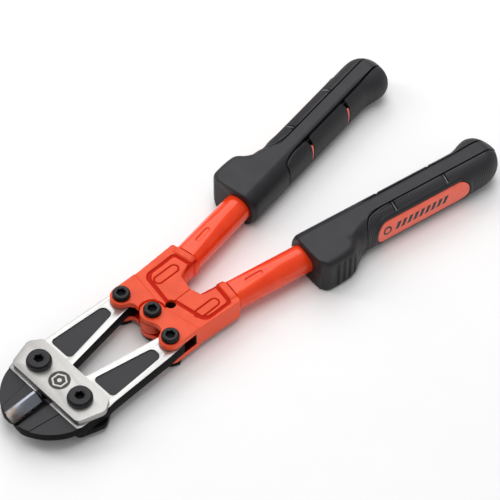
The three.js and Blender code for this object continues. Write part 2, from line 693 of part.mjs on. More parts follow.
for (const [side, { sign }] of Object.entries(SIDES)) {
  const handed = (body) => (sign > 0 ? body : mirrored(body));
  place(tool, `jaw_${side}`, handed(jaw(side === 'left')), jawSteel);
  place(tool, `jaw_bolt_${side}`, jawBoltBody, blackOxide, sign * JAW_PIVOT.x, JAW_PIVOT.y);
  place(tool, `jaw_nut_${side}`, jawNutBody, blackOxide, sign * JAW_PIVOT.x, JAW_PIVOT.y);
  place(tool, `casting_${side}`, handed(casting(side)), castPaint);
  place(tool, `tail_bolt_${side}`, pivotBoltBody, blackOxide, sign * TAIL_PIVOT.x, TAIL_PIVOT.y);
  place(tool, `tail_nut_${side}`, pivotNutBody, blackOxide, sign * TAIL_PIVOT.x, TAIL_PIVOT.y);

  const handle = new THREE.Group();
  handle.position.set(sign * HANDLE_BASE.x, HANDLE_BASE.y, 0);
  handle.rotation.z = -sign * HANDLE_ANGLE;
  place(handle, `tube_${side}`, handed(tubeBody), tubePaint);
  for (const [piece, body] of Object.entries(gripPieces)) {
    place(handle, `grip_${piece}_${side}`, handed(body), gripMaterials[piece]);
  }
  tool.add(handle);
}

place(tool, 'centre_bolt', pivotBoltBody, blackOxide, CENTRE_PIVOT.x, CENTRE_PIVOT.y);
place(tool, 'centre_nut', pivotNutBody, blackOxide, CENTRE_PIVOT.x, CENTRE_PIVOT.y);

// The origin goes to the middle of the underside.
tool.updateMatrixWorld(true);
const bounds = new THREE.Box3().setFromObject(tool, true);
const group = new THREE.Group();
group.add(tool);
tool.position.set(0, -(bounds.min.y + bounds.max.y) / 2, -REST_Z);

export default group;
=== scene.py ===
"""Looks of the compound-action bolt cutters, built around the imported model.

Lengths named in this script are in millimetres and are turned into metres by MM.
"""

import json
import math

import bmesh
import bpy
import numpy as np
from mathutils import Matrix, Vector


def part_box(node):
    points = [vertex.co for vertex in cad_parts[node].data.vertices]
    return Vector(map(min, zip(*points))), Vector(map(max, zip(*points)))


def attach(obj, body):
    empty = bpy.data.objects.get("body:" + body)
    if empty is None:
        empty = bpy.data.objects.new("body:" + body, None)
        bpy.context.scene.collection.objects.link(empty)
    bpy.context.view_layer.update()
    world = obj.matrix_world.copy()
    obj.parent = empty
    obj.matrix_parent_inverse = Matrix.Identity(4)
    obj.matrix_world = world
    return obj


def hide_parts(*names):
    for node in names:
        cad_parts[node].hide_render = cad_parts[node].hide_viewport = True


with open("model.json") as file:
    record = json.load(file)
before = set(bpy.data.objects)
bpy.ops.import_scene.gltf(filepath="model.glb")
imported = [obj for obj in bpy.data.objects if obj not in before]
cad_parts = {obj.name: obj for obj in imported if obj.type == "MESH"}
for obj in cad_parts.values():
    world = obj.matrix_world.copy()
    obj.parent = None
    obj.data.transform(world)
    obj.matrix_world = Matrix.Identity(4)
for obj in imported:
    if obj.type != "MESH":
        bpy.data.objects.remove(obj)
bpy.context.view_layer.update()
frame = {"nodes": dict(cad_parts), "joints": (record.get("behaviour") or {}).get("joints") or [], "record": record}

MM = 0.001
RECORD = frame["record"]
BODY_OF = {node: body for body, nodes in RECORD["behaviour"]["bodies"].items() for node in nodes}
SIDES = {"right": 1, "left": -1}


def joint_at(name):
    """Where a joint is at rest."""
    joint = next(j for j in frame["joints"] if j["name"] == name)
    return Vector(joint["pos_m"])


# The working frame of the design: midway between the jaw pivots, at mid-thickness.
HEAD = (joint_at("right_jaw_pivot") + joint_at("left_jaw_pivot")) / 2
CENTRE_PIVOT = joint_at("handles_open")


# ---------------- materials
class Shader:
    """A material made of nodes, with a Principled BSDF at its end."""

    def __init__(self, name):
        self.material = bpy.data.materials.new(name)
        self.material.use_nodes = True
        self.tree = self.material.node_tree
        self.bsdf = self.tree.nodes["Principled BSDF"]
        self.coords = self.tree.nodes.new("ShaderNodeTexCoord").outputs["Object"]
        self.height = None

    def link(self, value, socket):
        """Plugs an output in, or sets a constant."""
        if isinstance(value, bpy.types.NodeSocket):
            self.tree.links.new(value, socket)
        else:
            socket.default_value = value

    def set(self, **values):
        for name, value in values.items():
            self.link(value, self.bsdf.inputs[name.replace("_", " ")])
        return self

    def math(self, operation, a, b=0.0, c=0.0, clamp=False):
        node = self.tree.nodes.new("ShaderNodeMath")
        node.operation = operation
        node.use_clamp = clamp
        for value, socket in zip((a, b, c), node.inputs):
            self.link(value, socket)
        return node.outputs[0]

    def times(self, a, b):
        return self.math("MULTIPLY", a, b)

    def minus(self, a, b):
        return self.math("SUBTRACT", a, b)

    def larger(self, a, b):
        return self.math("MAXIMUM", a, b)

    def absolute(self, value):
        return self.math("ABSOLUTE", value)

    def length(self, a, b):
        """Length of a line that goes a one way and b at right angles to it."""
        return self.math("SQRT", self.math("MULTIPLY_ADD", a, a, self.times(b, b)))

    def scaled(self, x, y, z):
        """Object coordinates stretched along each axis."""
        node = self.tree.nodes.new("ShaderNodeVectorMath")
        node.operation = "MULTIPLY"
        self.link(self.coords, node.inputs[0])
        node.inputs[1].default_value = (x, y, z)
        return node.outputs[0]

    def noise(self, size, detail=3.0, roughness=0.55, vector=None):
        """Noise with features about size millimetres across, from 0 to 1."""
        node = self.tree.nodes.new("ShaderNodeTexNoise")
        self.link(vector or self.coords, node.inputs["Vector"])
        node.inputs["Scale"].default_value = 1 / (size * MM)
        node.inputs["Detail"].default_value = detail
        node.inputs["Roughness"].default_value = roughness
        return node.outputs["Fac"]

    def band(self, value, low, high):
        """0 below low, 1 above high, smooth in between."""
        node = self.tree.nodes.new("ShaderNodeMapRange")
        node.interpolation_type = "SMOOTHSTEP"
        self.link(value, node.inputs["Value"])
        node.inputs["From Min"].default_value = low
        node.inputs["From Max"].default_value = high
        return node.outputs["Result"]

    def mix(self, share, a, b):
        """Colour a where share is 0, colour b where it is 1."""
        node = self.tree.nodes.new("ShaderNodeMix")
        node.data_type = "RGBA"
        self.link(share, node.inputs[0])
        for value, socket in ((a, node.inputs[6]), (b, node.inputs[7])):
            self.link((*value, 1.0) if isinstance(value, tuple) else value, socket)
        return node.outputs[2]

    def blend(self, share, a, b):
        """Number a where share is 0, number b where it is 1."""
        return self.math("ADD", a, self.math("MULTIPLY", share, self.math("SUBTRACT", b, a)))

    def split(self, vector):
        node = self.tree.nodes.new("ShaderNodeSeparateXYZ")
        self.link(vector, node.inputs[0])
        return node.outputs

    def normal(self):
        return self.split(self.tree.nodes.new("ShaderNodeNewGeometry").outputs["Normal"])

    def bump(self, height, depth, strength=1.0):
        """Raises the surface by depth millimetres times height; calls add up."""
        node = self.tree.nodes.new("ShaderNodeBump")
        node.inputs["Strength"].default_value = strength
        node.inputs["Distance"].default_value = depth * MM
        self.link(height, node.inputs["Height"])
        if self.height is not None:
            self.link(self.height, node.inputs["Normal"])
        self.height = node.outputs["Normal"]
        self.link(self.height, self.bsdf.inputs["Normal"])
        return self


# Of the castings, with distances from HEAD.
BODY_HALF = 7.8                  # half their thickness behind the fork
FORK_HALF_GAP, FORK_BACK = 4.5, 82.0
RELIEF_CENTRE = (3.05, 85.4)     # the half-round hole on the seam


def cast_paint():
    """Satin red-orange coating over a sand-cast surface, with painted shade deepening its colour in the grooves,
    painted light on the steep side faces, and painted shade inside the fork and the hole on the seam."""
    s = Shader("cast_paint")
    x, y, z = s.split(s.coords)
    off_middle = s.absolute(s.minus(z, HEAD.z))
    level = s.band(s.absolute(s.normal()[2]), 0.35, 0.7)
    # Painted shade: flat faces down in the grooves are coloured a deeper red and given less sheen and coat.
    sunk = s.times(level, s.band(off_middle, (BODY_HALF - 0.04) * MM, (BODY_HALF - 0.4) * MM))
    mottled = s.mix(s.band(s.noise(9, 4), 0.3, 0.7), (0.74, 0.058, 0.014), (0.82, 0.074, 0.02))
    # Painted light: steep side faces are coloured a lighter red than the top faces.
    walls = s.band(s.absolute(s.normal()[2]), 0.7, 0.2)
    lighter = s.mix(walls, mottled, (0.95, 0.085, 0.022))
    speckled = s.mix(s.band(s.noise(0.5, 2), 0.62, 0.8), lighter, (0.66, 0.04, 0.012))
    coloured = s.mix(sunk, speckled, (0.50, 0.012, 0.004))
    # Painted shade: the inside of the hole on the seam and the inside of the fork are coloured near black.
    dx = s.minus(x, RELIEF_CENTRE[0] * MM)
    dy = s.minus(y, HEAD.y + RELIEF_CENTRE[1] * MM)
    below_rim = s.band(z, HEAD.z + 7 * MM, HEAD.z + 4.5 * MM)
    in_relief = s.times(s.band(s.length(dx, dy), 3.7 * MM, 3.5 * MM), below_rim)
    beside = s.band(s.absolute(x), 12 * MM, 13 * MM)
    in_fork = s.times(beside, s.band(off_middle, (FORK_HALF_GAP + 0.16) * MM, (FORK_HALF_GAP + 0.08) * MM))
    before_back = s.band(y, HEAD.y + (FORK_BACK + 1) * MM, HEAD.y + (FORK_BACK + 0.4) * MM)
    in_fork = s.times(in_fork, before_back)
    unlit = s.larger(in_relief, in_fork)
    s.set(Base_Color=s.mix(unlit, coloured, (0.035, 0.004, 0.002)))
    s.set(Roughness=s.blend(s.noise(2.5), 0.36, 0.54))
    s.set(Specular_IOR_Level=s.blend(sunk, 0.36, 0.08), Specular_Tint=(1.0, 0.82, 0.68, 1.0))
    s.set(Coat_Weight=s.blend(sunk, 0.12, 0.0), Coat_Roughness=0.3)
    return s.bump(s.noise(1.1, 4), 0.1, 0.5).bump(s.noise(0.35, 2), 0.03, 0.5).material


def tube_paint():
    """Glossy red enamel with a faint orange-peel surface."""
    s = Shader("tube_paint")
    s.set(Base_Color=s.mix(s.band(s.noise(14), 0.3, 0.7), (0.86, 0.044, 0.006), (0.93, 0.06, 0.010)))
    s.set(Roughness=s.blend(s.noise(4), 0.18, 0.28))
    s.set(Specular_IOR_Level=0.4, Specular_Tint=(1.0, 0.72, 0.5, 1.0))
    s.set(Coat_Weight=0.5, Coat_Roughness=0.08, Coat_Tint=(1.0, 0.86, 0.72, 1.0))
    return s.bump(s.noise(2.2, 2), 0.05, 0.35).material


def emblem(s, plain):
    """A printed dark disc with a light six-sided ring and a round dot, midway between the jaw bolts."""
    radius = 6.6
    x, y = s.split(s.coords)[:2]
    dx = s.minus(x, HEAD.x)
    dy = s.minus(y, HEAD.y)
    distance = s.length(dx, dy)
    on_top = s.band(s.normal()[2], 0.9, 0.99)
    edge = 0.12 * MM
    disc = s.times(on_top, s.band(distance, radius * MM + edge, radius * MM - edge))
    corner = s.absolute(s.times(dx, 0.5))
    slant = s.math("ADD", corner, s.times(s.absolute(dy), math.sin(math.pi / 3)))
    reach = s.larger(s.absolute(dx), slant)
    ring = s.times(s.band(reach, 3.3 * MM, 3.5 * MM), s.band(reach, 4.5 * MM, 4.3 * MM))
    dot = s.band(distance, 1.5 * MM, 1.3 * MM)
    printed = s.mix(s.larger(ring, dot), (0.03, 0.024, 0.021), (0.62, 0.61, 0.59))
    return s.mix(disc, plain, printed), disc


def strap_steel():
    """Bare steel, brushed across the strap, with painted shade on its front wall, darker towards the bottom, and a
    printed emblem.
    """
    s = Shader("strap_steel")
    lines = s.noise(1.0, 3, 0.6, s.scaled(6.0, 0.25, 1.0))
    patches = s.noise(12, 3)
    steel = s.mix(s.band(lines, 0.3, 0.7), (0.33, 0.324, 0.315), (0.42, 0.413, 0.40))
    steel = s.mix(s.band(patches, 0.35, 0.75), steel, (0.39, 0.384, 0.372))
    # Painted shade on the front wall, darker towards the bottom.
    z = s.split(s.coords)[2]
    painted_front_wall_shade = s.mix(s.band(z, HEAD.z + 5 * MM, HEAD.z + 8 * MM), (0.05, 0.05, 0.052), (0.16, 0.157, 0.152))
    steel = s.mix(s.band(s.normal()[1], -0.55, -0.85), steel, painted_front_wall_shade)
    colour, disc = emblem(s, steel)
    s.set(Base_Color=colour, Metallic=s.blend(disc, 0.75, 0.0))
    s.set(Roughness=s.blend(disc, s.blend(lines, 0.30, 0.46), 0.5), Anisotropic=0.3)
    return s.bump(lines, 0.012, 0.6).material


JAW_HALF = 4.2          # half the jaws' thickness
NOSE_FRONT = -13.6      # in front of this the jaws are thinner
BEVEL_BANDS = {"left": 7.7, "right": 4.2}    # widths of the coloured bands along the cutting edges: temper colours on the left, painted shade on the right


def jaw_steel(side):
    """Ground bright on the raised faces, with painted shade darkening them behind the strap; dark forged skin
    everywhere else, with painted shade on its steep faces and a painted shade line along the nose's step; the left
    cutting bevel is ground and has temper colours, and the right one is painted black as shade."""
    s = Shader(f"jaw_steel_{side}")
    x, y, z = s.split(s.coords)
    nz = s.normal()[2]
    level = s.band(s.absolute(nz), 0.97, 0.998)
    off_middle = s.absolute(s.minus(z, HEAD.z))
    raised = s.times(level, s.band(off_middle, (JAW_HALF - 0.2) * MM, (JAW_HALF - 0.1) * MM))
    off_centre = s.absolute(x)
    before_strap = s.band(y, HEAD.y - 11.6 * MM, HEAD.y - 11.9 * MM)
    between = s.times(before_strap, s.band(off_centre, 6.5 * MM, 6.3 * MM))
    raised = s.times(raised, s.minus(1.0, between))
    grain = s.noise(0.45, 3, 0.6)
    forged = s.mix(s.band(grain, 0.35, 0.7), (0.030, 0.030, 0.032), (0.054, 0.054, 0.058))
    # Painted shade: steep faces of the forged skin are coloured darker than its flat faces.
    walls = s.mix(s.band(grain, 0.3, 0.7), (0.004, 0.004, 0.0045), (0.010, 0.010, 0.011))
    dark = s.mix(s.band(s.absolute(nz), 0.75, 0.97), walls, forged)
    lines = s.noise(1.0, 3, 0.6, s.scaled(5.0, 0.3, 1.0))
    ground = s.mix(s.band(lines, 0.3, 0.7), (0.50, 0.497, 0.487), (0.60, 0.593, 0.585))
    # Painted shade: the ground faces behind the strap are coloured darker.
    behind = s.band(y, HEAD.y + 9 * MM, HEAD.y + 12 * MM)
    ground = s.mix(behind, ground, s.mix(s.band(lines, 0.3, 0.7), (0.42, 0.417, 0.408), (0.51, 0.505, 0.497)))
    colour = s.mix(raised, dark, ground)
    shine = raised
    in_front = s.band(y, HEAD.y + NOSE_FRONT * MM, HEAD.y + (NOSE_FRONT - 0.3) * MM)
    width = BEVEL_BANDS[side]
    beside_edge = s.band(off_centre, (width + 0.1) * MM, (width - 0.1) * MM)
    bevel = s.times(in_front, s.times(beside_edge, s.band(nz, 0.7, 0.8)))
    matt = s.blend(s.absolute(nz), 0.05, 0.3)
    if side == "left":
        along = s.math("ADD", y, s.times(s.noise(4, 3), 12 * MM))
        warm = s.band(along, HEAD.y - 19 * MM, HEAD.y - 26 * MM)
        temper = s.mix(warm, (0.21, 0.225, 0.265), (0.155, 0.125, 0.108))
        temper = s.mix(s.band(s.noise(2.2, 3), 0.45, 0.7), temper, (0.20, 0.20, 0.22))
        colour = s.mix(bevel, colour, temper)
        shine = s.larger(raised, bevel)
    else:
        # Painted shade: the right bevel faces away from the light, so it is coloured black and given little sheen.
        colour = s.mix(bevel, colour, (0.003, 0.003, 0.0032))
        matt = s.blend(bevel, matt, 0.02)
    # Painted shade: a thin black line along the step down to the nose's outer facet.
    step = s.math("MULTIPLY_ADD", s.minus(y, HEAD.y - 19.5 * MM), 0.14, 14.2 * MM)
    off_step = s.absolute(s.minus(s.absolute(x), step))
    line = s.times(in_front, s.band(off_step, 0.3 * MM, 0.12 * MM))
    colour = s.mix(line, colour, (0.003, 0.003, 0.003))
    s.set(Base_Color=colour, Metallic=s.blend(shine, 0.2, 0.85))
    s.set(Roughness=s.blend(shine, s.blend(grain, 0.5, 0.68), s.blend(lines, 0.22, 0.36)))
    s.set(Specular_IOR_Level=s.blend(shine, matt, 0.5))
    return s.bump(s.times(grain, s.minus(1.0, shine)), 0.06, 0.6).material


def black_oxide(name="black_oxide", shade=1.0, axis=None):
    """Oiled black oxide on machined steel, painted lighter on top as light, and with painted highlights on the
    teeth of a serrated flange when its axis is given."""
    s = Shader(name)
    grain = s.noise(0.6, 3)
    low, high = 0.0045 * shade, 0.009 * shade
    colour = s.mix(s.band(grain, 0.3, 0.75), (low, low, low * 1.1), (high, high, high * 1.12))
    x, y, z = s.split(s.coords)
    # Painted light: faces on top of the heads are coloured lighter.
    above_sockets = s.band(z, HEAD.z + 10.3 * MM, HEAD.z + 10.6 * MM)
    up = s.times(s.band(s.normal()[2], 0.9, 0.99), above_sockets)
    colour = s.mix(up, colour, (0.017 * shade, 0.017 * shade, 0.02 * shade))
    if axis:
        reach = s.length(s.minus(x, axis.x), s.minus(y, axis.y))
        # Painted highlight on the outer tips of the flange's teeth.
        colour = s.mix(s.band(reach, 7.35 * MM, 7.7 * MM), colour, (0.17, 0.17, 0.18))
    s.set(Base_Color=colour, Roughness=s.blend(s.noise(1.5), 0.3, 0.42))
    s.set(Specular_IOR_Level=s.blend(above_sockets, 0.06, 0.22))
    return s.bump(grain, 0.02, 0.4).material


def handle_coordinates(s, side):
    """Station along a handle, distance outwards from it, and height, as shader values."""
    handle = HANDLES[side]
    x, y, z = s.split(s.coords)
    dx = s.minus(x, float(handle.start[0]))
    dy = s.minus(y, float(handle.start[1]))

    def part(axis):
        return s.math("MULTIPLY_ADD", dy, float(axis[1]), s.times(dx, float(axis[0])))

    return part(handle.along), part(handle.outward), s.minus(z, HEAD.z)


def grip_plastic(side):
    """Satin dark grey plastic with a fine moulded grain, painted a touch lighter on top and darker on its sides as
    light and shade, and painted black as shade down in the parting grooves beside the spine."""
    s = Shader(f"grip_plastic_{side}")
    grain = s.noise(0.3, 2, 0.6)
    # Painted light and shade: the sides are coloured darker, the tops lighter.
    painted_side_shade = s.mix(s.band(s.noise(16, 4), 0.3, 0.7), (0.0075, 0.0075, 0.009), (0.011, 0.011, 0.013))
    painted_top_light = s.mix(s.band(s.noise(12, 4), 0.3, 0.7), (0.015, 0.015, 0.0185), (0.021, 0.021, 0.025))
    colour = s.mix(s.band(s.normal()[2], 0.35, 0.95), painted_side_shade, painted_top_light)
    colour = s.mix(s.band(grain, 0.55, 0.8), colour, (0.028, 0.028, 0.033))
    station, out, up = handle_coordinates(s, side)
    inner = s.band(out, (SPINE_INNER - 0.05) * MM, (SPINE_INNER - 0.2) * MM)
    outer = s.band(out, (SPINE_OUTER + 0.05) * MM, (SPINE_OUTER + 0.2) * MM)
    # Painted shade: the parting grooves are coloured black and given little sheen.
    groove = s.times(s.band(station, GROOVE_FROM * MM, GROOVE_TO * MM), s.larger(inner, outer))
    groove = s.times(groove, s.band(up, 6 * MM, 8 * MM))
    s.set(Base_Color=s.mix(groove, colour, (0.0015, 0.0015, 0.0016)))
    s.set(Roughness=s.blend(s.noise(3), 0.4, 0.54), Specular_IOR_Level=s.blend(groove, 0.35, 0.02))
    return s.bump(grain, 0.04, 0.5).bump(s.noise(1.6, 2), 0.03, 0.3).material


def grip_rubber(side, which):
    """Matt dark rubber with the tops of its ribs painted light and their hollows painted shade, and painted black
    as shade in its slits and where it meets the spine.
    """
    s = Shader(f"grip_rubber_{which}_{side}")
    grain = s.noise(0.28, 2, 0.6)
    station, out, up = handle_coordinates(s, side)
    smooth = s.mix(s.band(s.noise(10, 4), 0.3, 0.7), (0.010, 0.010, 0.0118), (0.015, 0.015, 0.0173))
    phase = s.math("FRACT", s.math("DIVIDE", station, RIB_PITCH * MM))
    # Painted light and shade: the tops of the ribs are coloured lighter, the hollows between them darker.
    lit_rib_tops = s.band(s.absolute(s.minus(phase, 0.5)), 0.08, 0.42)
    ribbed = s.mix(lit_rib_tops, (0.006, 0.006, 0.007), (0.032, 0.032, 0.0365))
    spine = SPINE_OUTER if which == "outer" else -SPINE_INNER
    past_spine = s.minus(s.absolute(out), spine * MM)
    rim = s.times(s.band(past_spine, 1.9 * MM, 1.5 * MM), s.band(up, 0.0, 2 * MM))
    if which == "outer":
        y0, y1, z0, z1, radius = LABEL
        beyond = []
        for value, low, high in ((station, y0, y1), (up, z0, z1)):
            off = s.absolute(s.minus(value, (low + high) / 2 * MM))
            beyond.append(s.larger(s.minus(off, ((high - low) / 2 - radius) * MM), 0.0))
        reach = s.length(*beyond)
        plain = s.larger(rim, s.band(reach, (radius + 2.9) * MM, (radius + 2.7) * MM))
        clear = s.band(reach, (radius + 2.4) * MM, (radius + 2.7) * MM)
        centre, half, wall = OUTER_SLIT_SHIFT * MM, 1.15 * MM, 0.95
    else:
        plain, clear = rim, s.band(up, -10 * MM, -9 * MM)
        centre = s.math("MULTIPLY_ADD", up, 0.9 / 24, 0.11 * MM)
        centre = s.minus(centre, s.times(s.band(up, 8.5 * MM, 13 * MM), 0.9 * MM))
        narrow = s.blend(s.band(up, -8 * MM, 8 * MM), 0.75 * MM, 1.2 * MM)
        half = s.math("MULTIPLY_ADD", s.band(up, 9 * MM, 13.5 * MM), 0.45 * MM, narrow)
        wall = 1.6
    colour = s.mix(plain, ribbed, smooth)
    colour = s.mix(s.band(grain, 0.5, 0.8), colour, (0.022, 0.022, 0.025))
    # Painted shade: black in the groove along the spine and in the slits, with little sheen.
    dark = s.band(past_spine, wall * MM, (wall - 0.2) * MM)
    behind_front = s.band(station, GROOVE_FROM * MM, GROOVE_TO * MM)
    dark = s.times(dark, s.times(s.band(up, 5 * MM, 7 * MM), behind_front))
    off_edge = s.band(past_spine, (wall + 0.3) * MM, (wall + 0.6) * MM)
    light = None
    for at in SLITS:
        off = s.absolute(s.minus(s.minus(station, at * MM), centre))
        slit = s.band(s.minus(off, half), 0.12 * MM, -0.05 * MM)
        slit = s.times(slit, s.times(clear, off_edge))
        dark = s.larger(dark, slit)
        if which == "outer":
            bar = s.times(s.times(s.band(off, 0.55 * MM, 0.45 * MM), clear), off_edge)
            light = bar if light is None else s.larger(light, bar)
    colour = s.mix(dark, colour, (0.0015, 0.0015, 0.0016))
    if light is not None:
        colour = s.mix(light, colour, (0.17, 0.17, 0.175))
        dark = s.math("SUBTRACT", dark, light, clamp=True)
    s.set(Base_Color=colour, Specular_IOR_Level=s.blend(dark, 0.4, 0.02))
    s.set(Roughness=s.blend(plain, s.blend(s.noise(2), 0.42, 0.58), 0.36))
    return s.bump(grain, 0.05, 0.5).material


def orange_plastic(side=None):
    """Smooth orange-red plastic. A label insert (side given) has a ring and a row of slanted bars printed
    on it."""
    s = Shader(f"orange_plastic_{side or 'strips'}")
    darker, lighter = (0.96, 0.20, 0.13), (1.0, 0.23, 0.15)
    if side:
        darker, lighter = (0.94, 0.14, 0.08), (0.98, 0.16, 0.10)
    colour = s.mix(s.band(s.noise(7, 3), 0.3, 0.7), darker, lighter)
    if side:
        station, up = handle_coordinates(s, side)[::2]
        slanted = s.minus(station, s.times(up, 0.45))
        pitch, skipped, count = 4.6, 30, 9
        phase = s.math("FRACT", s.math("DIVIDE", slanted, pitch * MM))
        bars = s.times(s.band(phase, 0.18, 0.21), s.band(phase, 0.82, 0.79))
        rows = s.times(s.band(up, -0.3 * MM, -0.1 * MM), s.band(up, 5.5 * MM, 5.3 * MM))
        first, last = skipped * pitch, (skipped + count) * pitch
        begun = s.band(slanted, first * MM, (first + 0.1) * MM)
        span = s.times(begun, s.band(slanted, last * MM, (last - 0.1) * MM))
        printed = s.times(bars, s.times(rows, span))
        from_ring = s.minus(station, 133.2 * MM)
        above = s.minus(up, 2.7 * MM)
        reach = s.length(from_ring, above)
        ring = s.times(s.band(reach, 1.9 * MM, 2.05 * MM), s.band(reach, 3.35 * MM, 3.2 * MM))
        printed = s.larger(printed, ring)
        colour = s.mix(printed, colour, (0.015, 0.016, 0.018))
    s.set(Base_Color=colour, Roughness=s.blend(s.noise(2), 0.3, 0.42))
    return s.bump(s.noise(0.5, 2), 0.02, 0.3).material


# ---------------- mesh helpers
def new_piece(name, vertices, faces, material, smooth_angle=35):
    """A mesh object from points in metres, with its faces turned outwards."""
    mesh = bpy.data.meshes.new(name)
    mesh.from_pydata(vertices, [], faces)
    build = bmesh.new()
    build.from_mesh(mesh)
    if build.calc_volume(signed=True) < 0:
        bmesh.ops.reverse_faces(build, faces=build.faces)
    build.to_mesh(mesh)
    build.free()
    return finish_piece(bpy.data.objects.new(name, mesh), material, smooth_angle)


def finish_piece(piece, material, smooth_angle=35):
    """Links a piece, shades it smooth up to an angle, and gives it its material."""
    piece.data.materials.clear()
    piece.data.materials.append(material)
    piece.data.shade_smooth()
    piece.data.set_sharp_from_angle(angle=math.radians(smooth_angle))
    bpy.context.scene.collection.objects.link(piece)
    return piece


def stand_in(piece, node):
    """The piece takes the CAD node's place, on its body."""
    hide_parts(node)
    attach(piece, BODY_OF[node])


def apply_modifiers(piece):
    """Turns what the modifiers give into the piece's own mesh."""
    graph = bpy.context.evaluated_depsgraph_get()
    shaped = bpy.data.meshes.new_from_object(piece.evaluated_get(graph))
    piece.modifiers.clear()
    piece.data = shaped


def copy_of(node, name):
    """A free copy of a CAD node's mesh."""
    return bpy.data.objects.new(name, frame["nodes"][node].data.copy())


def tidy_plane_faces(mesh):
    """Joins the triangles of each flat face, so that only real edges are left."""
    build = bmesh.new()
    build.from_mesh(mesh)
    bmesh.ops.remove_doubles(build, verts=build.verts, dist=0.01 * MM)
    bmesh.ops.dissolve_limit(build, angle_limit=math.radians(1), verts=build.verts, edges=build.edges)
    build.to_mesh(mesh)
    build.free()


def edge_rounded(node, material, width):
    """The CAD node with its edges rounded."""
    piece = copy_of(node, f"{node}_fine")
    tidy_plane_faces(piece.data)
    finish_piece(piece, material)
    bevel = piece.modifiers.new("edges", "BEVEL")
    bevel.width = width * MM
    bevel.segments = 3
    bevel.limit_method = "ANGLE"
    bevel.angle_limit = math.radians(30)
    bevel.harden_normals = False
    apply_modifiers(piece)
    piece.data.shade_smooth()
    piece.data.set_sharp_from_angle(angle=math.radians(35))
    stand_in(piece, node)


def cast_skin(node, material):
    """The CAD node with the soft edges of a casting: fine even faces, relaxed."""
    piece = copy_of(node, f"{node}_fine")
    finish_piece(piece, material)
    remesh = piece.modifiers.new("skin", "REMESH")
    remesh.mode = "VOXEL"
    remesh.voxel_size = 0.32 * MM
    remesh.use_smooth_shade = True
    relax = piece.modifiers.new("relax", "SMOOTH")
    relax.factor = 0.5
    relax.iterations = 4
    apply_modifiers(piece)
    piece.data.shade_smooth()
    stand_in(piece, node)


def grid_faces(rows, columns, offset=0, closed=False):
    """Quads over a grid of points, joined up round the columns if closed."""
    faces = []
    for i in range(rows - 1):
        for j in range(columns if closed else columns - 1):
            a = offset + i * columns + j
            b = offset + i * columns + (j + 1) % columns
            faces.append((a, b, b + columns, a + columns))
    return faces


def loop_faces(rows, columns):
    """Quads over rings of points, the last ring joined to the first."""
    faces = grid_faces(rows, columns, closed=True)
    last = (rows - 1) * columns
    return faces + [(last + j, last + (j + 1) % columns, (j + 1) % columns, j) for j in range(columns)]


def surface_normals(points, closed):
    """Unit normals of a grid of points, rows by columns, closed or not across the columns."""
    down = np.gradient(points, axis=0)
    if closed:
        across = (np.roll(points, -1, axis=1) - np.roll(points, 1, axis=1)) / 2
    else:
        across = np.gradient(points, axis=1)
    normals = np.cross(down, across)
    length = np.linalg.norm(normals, axis=2, keepdims=True)
    return normals / np.maximum(length, 1e-9)


def slab(points, normals, outer_depth, inner_depth):
    """A closed piece under a grid of points, from a depth at each of them down to one depth for all."""
    rows, columns = points.shape[:2]
    outer = points - normals * outer_depth[..., None]
    inner = points - normals * inner_depth
    count = rows * columns
    faces = grid_faces(rows, columns)
    faces += [tuple(reversed([k + count for k in face])) for face in grid_faces(rows, columns)]
    top = list(range(columns))
    bottom = [(rows - 1) * columns + j for j in range(columns)]
    left = [i * columns for i in range(rows)]
    right = [i * columns + columns - 1 for i in range(rows)]
    for line, turned in ((top, True), (bottom, False), (left, False), (right, True)):
        for a, b in zip(line, line[1:]):
            wall = (a, b, b + count, a + count)
            faces.append(tuple(reversed(wall)) if turned else wall)
    vertices = np.concatenate([outer.reshape(-1, 3), inner.reshape(-1, 3)])
    return vertices, faces


# ---------------- bolts and nuts
AROUND = 240            # points round a bolt, a multiple of 6
RING_ANGLES = np.arange(AROUND) * 2 * math.pi / AROUND
SOCKET = 5.0            # across flats, in every bolt
PIVOT_NUT = 13.0        # across flats
JAW_SHANK, PIVOT_SHANK = 4.5, 2.9


def hexagon_radius(across_flats):
    """How far a hexagon's edge is from its middle, in each of the ring's directions."""
    turned = np.mod(RING_ANGLES, math.pi / 3) - math.pi / 6
    return across_flats / 2 / np.cos(turned)


def ring_points(centre, rings):
    """Points in metres of rings about an upright axis. Each ring is (radius or radii, z)."""
    points = []
    for radius, z in rings:
        for angle, r in zip(RING_ANGLES, np.broadcast_to(radius, RING_ANGLES.shape) * MM):
            points.append([centre.x + r * math.cos(angle), centre.y + r * math.sin(angle), z * MM])
    return points


def ring_stack(node, centre, rings, material):
    """A solid of stacked rings in a node's place, its two ends closed to points."""
    vertices = ring_points(centre, rings)
    faces = grid_faces(len(rings), AROUND, closed=True)
    for ring, z in ((0, rings[0][1]), (len(rings) - 1, rings[-1][1])):
        vertices.append([centre.x, centre.y, z * MM])
        middle = len(vertices) - 1
        for j in range(AROUND):
            edge = (ring * AROUND + (j + 1) % AROUND, ring * AROUND + j)
            faces.append((middle, *edge) if ring == 0 else (middle, *reversed(edge)))
    stand_in(new_piece(f"{node}_fine", vertices, faces, material, 32), node)


def socket_rings(top, depth):
    """A hexagon socket with a chamfered mouth and a drilled bottom, from its mouth down."""
    hexagon = hexagon_radius(SOCKET)
    mouth = SOCKET / math.sqrt(3) + 0.3
    return [
        (mouth, top), (np.minimum(hexagon + 0.05, mouth - 0.1), top - 0.28), (hexagon, top - 0.5),
        (hexagon, top - depth + 0.1), (hexagon * 0.96, top - depth), (hexagon * 0.5, top - depth - 0.2),
    ]


def shank_rings(radius, bottom, seat):
    """A bolt's chamfered shank, from its tip up to under its head."""
    return [(0.01, bottom), (radius - 0.4, bottom), (radius, bottom + 0.4), (radius, seat)]


